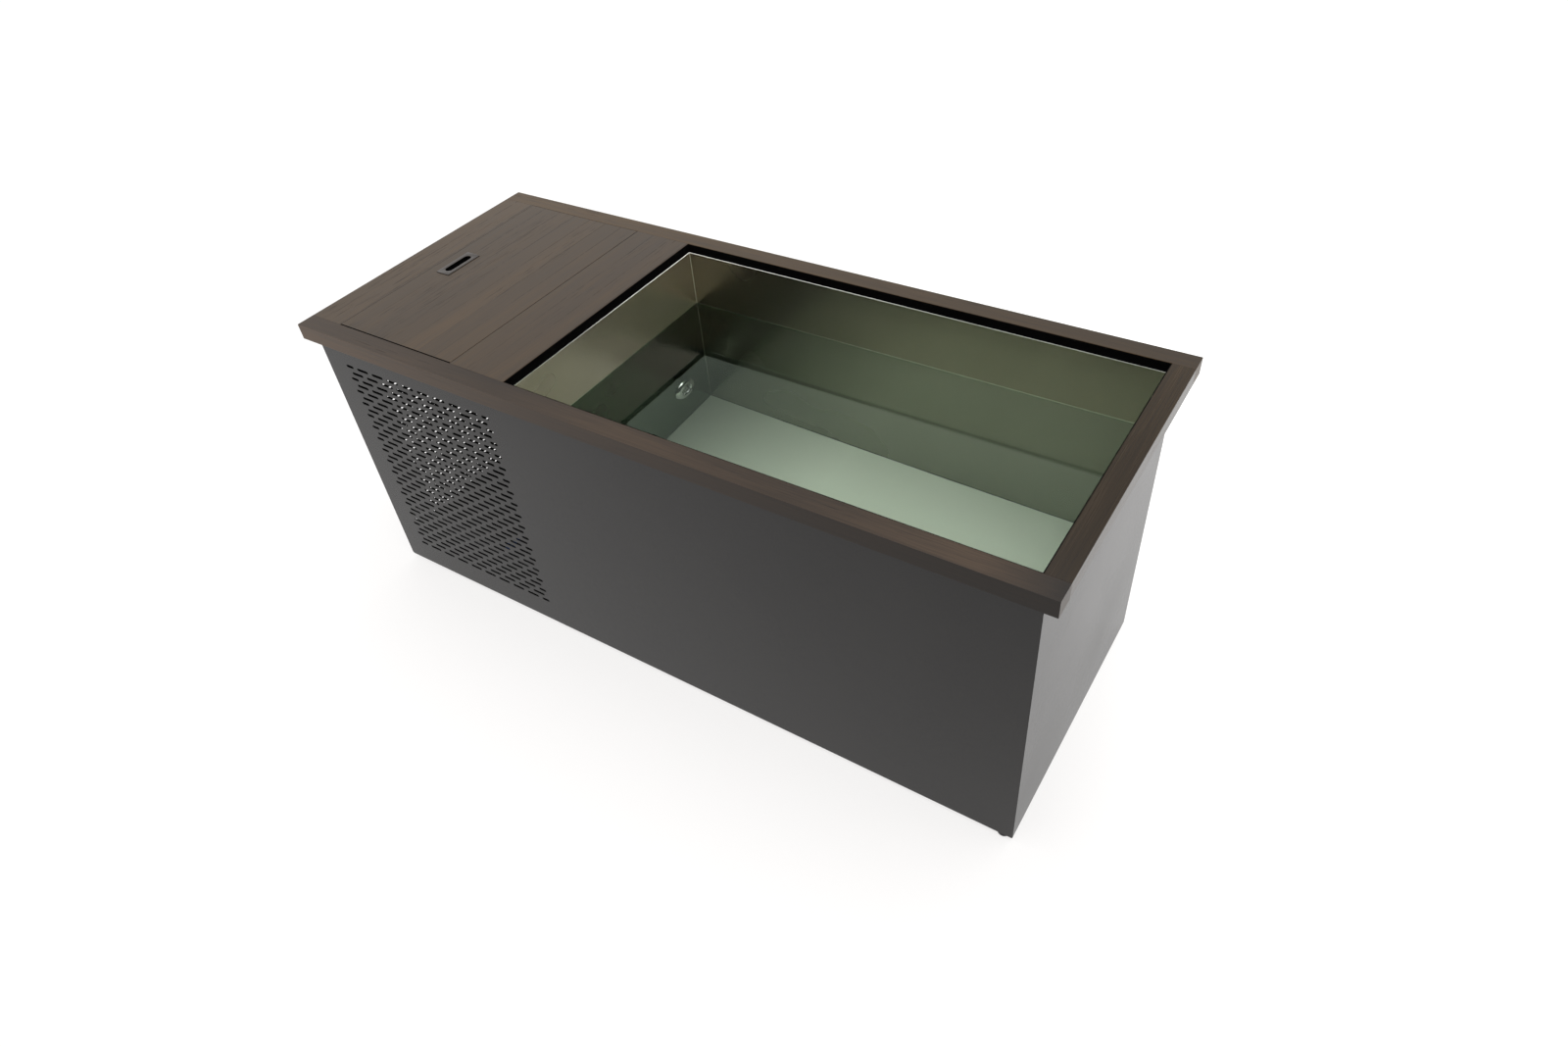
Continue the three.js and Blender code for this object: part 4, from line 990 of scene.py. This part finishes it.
for i in range(3):
    t = bmesh.new()
    box_bm(t, -0.0015, 0.0015, -0.005, 0.005, 0.023, 0.105)
    bmesh.ops.transform(t, matrix=Matrix.Translation((-0.735, 0.165, 0.220)) @ Matrix.Rotation(i * 2 * math.pi / 3 + 0.5, 4, "X"), verts=t.verts)
    tm = bpy.data.meshes.new("arm")
    t.to_mesh(tm)
    t.free()
    bm.from_mesh(tm)
    bpy.data.meshes.remove(tm)
obj("fan_motor_body", bm, "paint", smooth=35)

# ------------------------------------------------------------------ pipes
SUC, RET = (201, 214), (-200, 400)
G = 0.3
PIPES = (
    ("suction_pipe", "pipe", "pipe_plastic", [(-330 - G, *SUC), (-352, *SUC), (-352, 120, 218), (-400, 50, 115), (-400, -39.4 + G, 115)], 14, 11, 22),
    ("filter_feed_pipe", "pipe", "pipe_plastic", [(-400, -80, 187 + G), (-400, -80, 330), (-420, -10, 380), (-430, 20, 380), (-455.5 + G, 20, 380)], 12, 9, 30),
    ("exchanger_feed_pipe", "pipe", "pipe_plastic", [(-455.5 + G, 20, 90), (-432, 20, 90), (-432, 80, 90), (-450, 120, 90), (-450, 148 - G, 90)], 11, 8, 20),
    ("return_pipe", "pipe", "pipe_plastic", [(-450, 148 - G, 340), (-450, 115, 340), (-375, 40, 400), (-354, -120, 400), (-354, -200, 400), (-330 - G, *RET)], 12, 9, 22),
    ("discharge_pipe", "copper", "pipe_copper", [(-600, 190, 268.6 + G), (-600, 190, 340), (-640, 215, 410), (-770, 265, 430), (-792, 270, 420), (-792, 270, 380 + G)], 5, 0, 30),
    ("liquid_pipe", "copper", "pipe_copper", [(-792, 60, 380 + G), (-792, 60, 425), (-740, 90, 435), (-600, 110, 435), (-500, 180, 435), (-450, 230, 425), (-450, 230, 381.2)], 4, 0, 30),
    ("suction_gas_pipe", "copper", "pipe_copper", [(-428, 252, 381.2), (-428, 252, 410), (-470, 258, 424), (-560, 232, 395), (-574, 216, 340), (-574, 216, 268.6 + G)], 6, 0, 30),
)
for node, key, slot, pts, r, bore, bend in PIPES:
    bm = bmesh.new()
    line = route(pts, bend)
    tube(bm, line, r * mm, 24 if bore else 18, bore * mm)
    obj(node + "_run", bm, key, smooth=50, replaces=[node])
    if bore:
        bm = bmesh.new()
        for e, nx in ((line[0], line[1]), (line[-1], line[-2])):
            d = (nx - e).normalized()
            tube(bm, [e + d * 0.003, e + d * 0.012], (r + 1.0) * mm, 28, (r - 0.3) * mm)
            soft = (d.orthogonal()).normalized()
            tube(bm, [e + d * 0.0075 + soft * (r + 0.5) * mm, e + d * 0.0075 + soft * (r + 5.5) * mm], 0.0032, 12)
        obj(node + "_clips", bm, "zinc", smooth=40)

# ------------------------------------------------------------------ drain
VX, DY, DZ = -0.500, -0.262, 0.104
bm = bmesh.new()
turned(bm, [(0.009, 0), (0.017, 0), (0.017, 0.012), (0.0205, 0.014), (0.022, 0.018), (0.0226, 0.034), (0.022, 0.050), (0.0205, 0.054), (0.017, 0.056), (0.017, 0.068), (0.015, 0.069),
            (0.015, 0.2037), (0.011, 0.2037), (0.009, 0.068), (0.009, 0)], "X", (VX - 0.034, DY, DZ), 48)
turned(bm, [(0, 0.015), (0.0095, 0.015), (0.0095, 0.023), (0.008, 0.0245), (0.008, 0.027), (0, 0.027)], "Z", (VX, DY, DZ), 32)
obj("drain_valve_casting", bm, "brass", smooth=35, replaces=["drain_valve_body"])
bm = bmesh.new()
LZ = DZ + 0.0273
turned(bm, [(0, 0), (0.0105, 0), (0.011, 0.001), (0.011, 0.0068), (0.010, 0.008), (0.0055, 0.008), (0.0055, 0.0066), (0, 0.0066)], "Z", (VX, DY, LZ), 40)
soft_box(bm, VX - 0.006, VX + 0.006, DY + 0.004, DY + 0.074, LZ + 0.003, LZ + 0.007, 0.0018, 3)
obj("drain_lever_dipped", bm, "lever", "drain_lever", 35, ["drain_valve_lever"])
bm = bmesh.new()
turned(bm, [(0.009, 0), (0.0122, 0), (0.013, 0.0012), (0.0145, 0.003), (0.0125, 0.008), (0.0145, 0.011), (0.0125, 0.016), (0.013, 0.020), (0.013, 0.3117), (0.009, 0.3117), (0.009, 0)], "X", (-0.846, DY, DZ), 48)
obj("drain_tail", bm, "brass", smooth=35, replaces=["drain_outlet"])

# ------------------------------------------------------------------ controls and mains inlet
dress("control_box", "grey", 0.0015, 3, 60)
bm = bmesh.new()
soft_box(bm, -0.3845, -0.3828, -0.045, 0.015, 0.570, 0.610, 0.0004)
obj("control_window", bm, "window", smooth=40)
for n, b, y in (("button_power", "power_button", -0.070), ("button_down", "down_button", 0.040), ("button_up", "up_button", 0.075)):
    bm = bmesh.new()
    turned(bm, [(0, 0.0006), (0.0035, 0.0004), (0.0062, 0), (0.0074, 0.0003), (0.008, 0.0012), (0.008, 0.0064), (0.0115, 0.0064), (0.0115, 0.009), (0, 0.009)], "X", (-0.387, y, 0.590), 40)
    obj(n + "_cap", bm, "black", b, 35, [n])
dress("power_inlet", "black", 0.0006)
bm = bmesh.new()
for dx, dz in ((-0.007, -0.0015), (0.007, -0.0015), (0.0, 0.0035)):
    soft_box(bm, -0.600 + dx - 0.001, -0.600 + dx + 0.001, FY1 - 0.0135, FY1 - 0.001, 0.110 + dz - 0.002, 0.110 + dz + 0.002, 0.0004)
obj("power_inlet_pins", bm, "hinge", smooth=40)
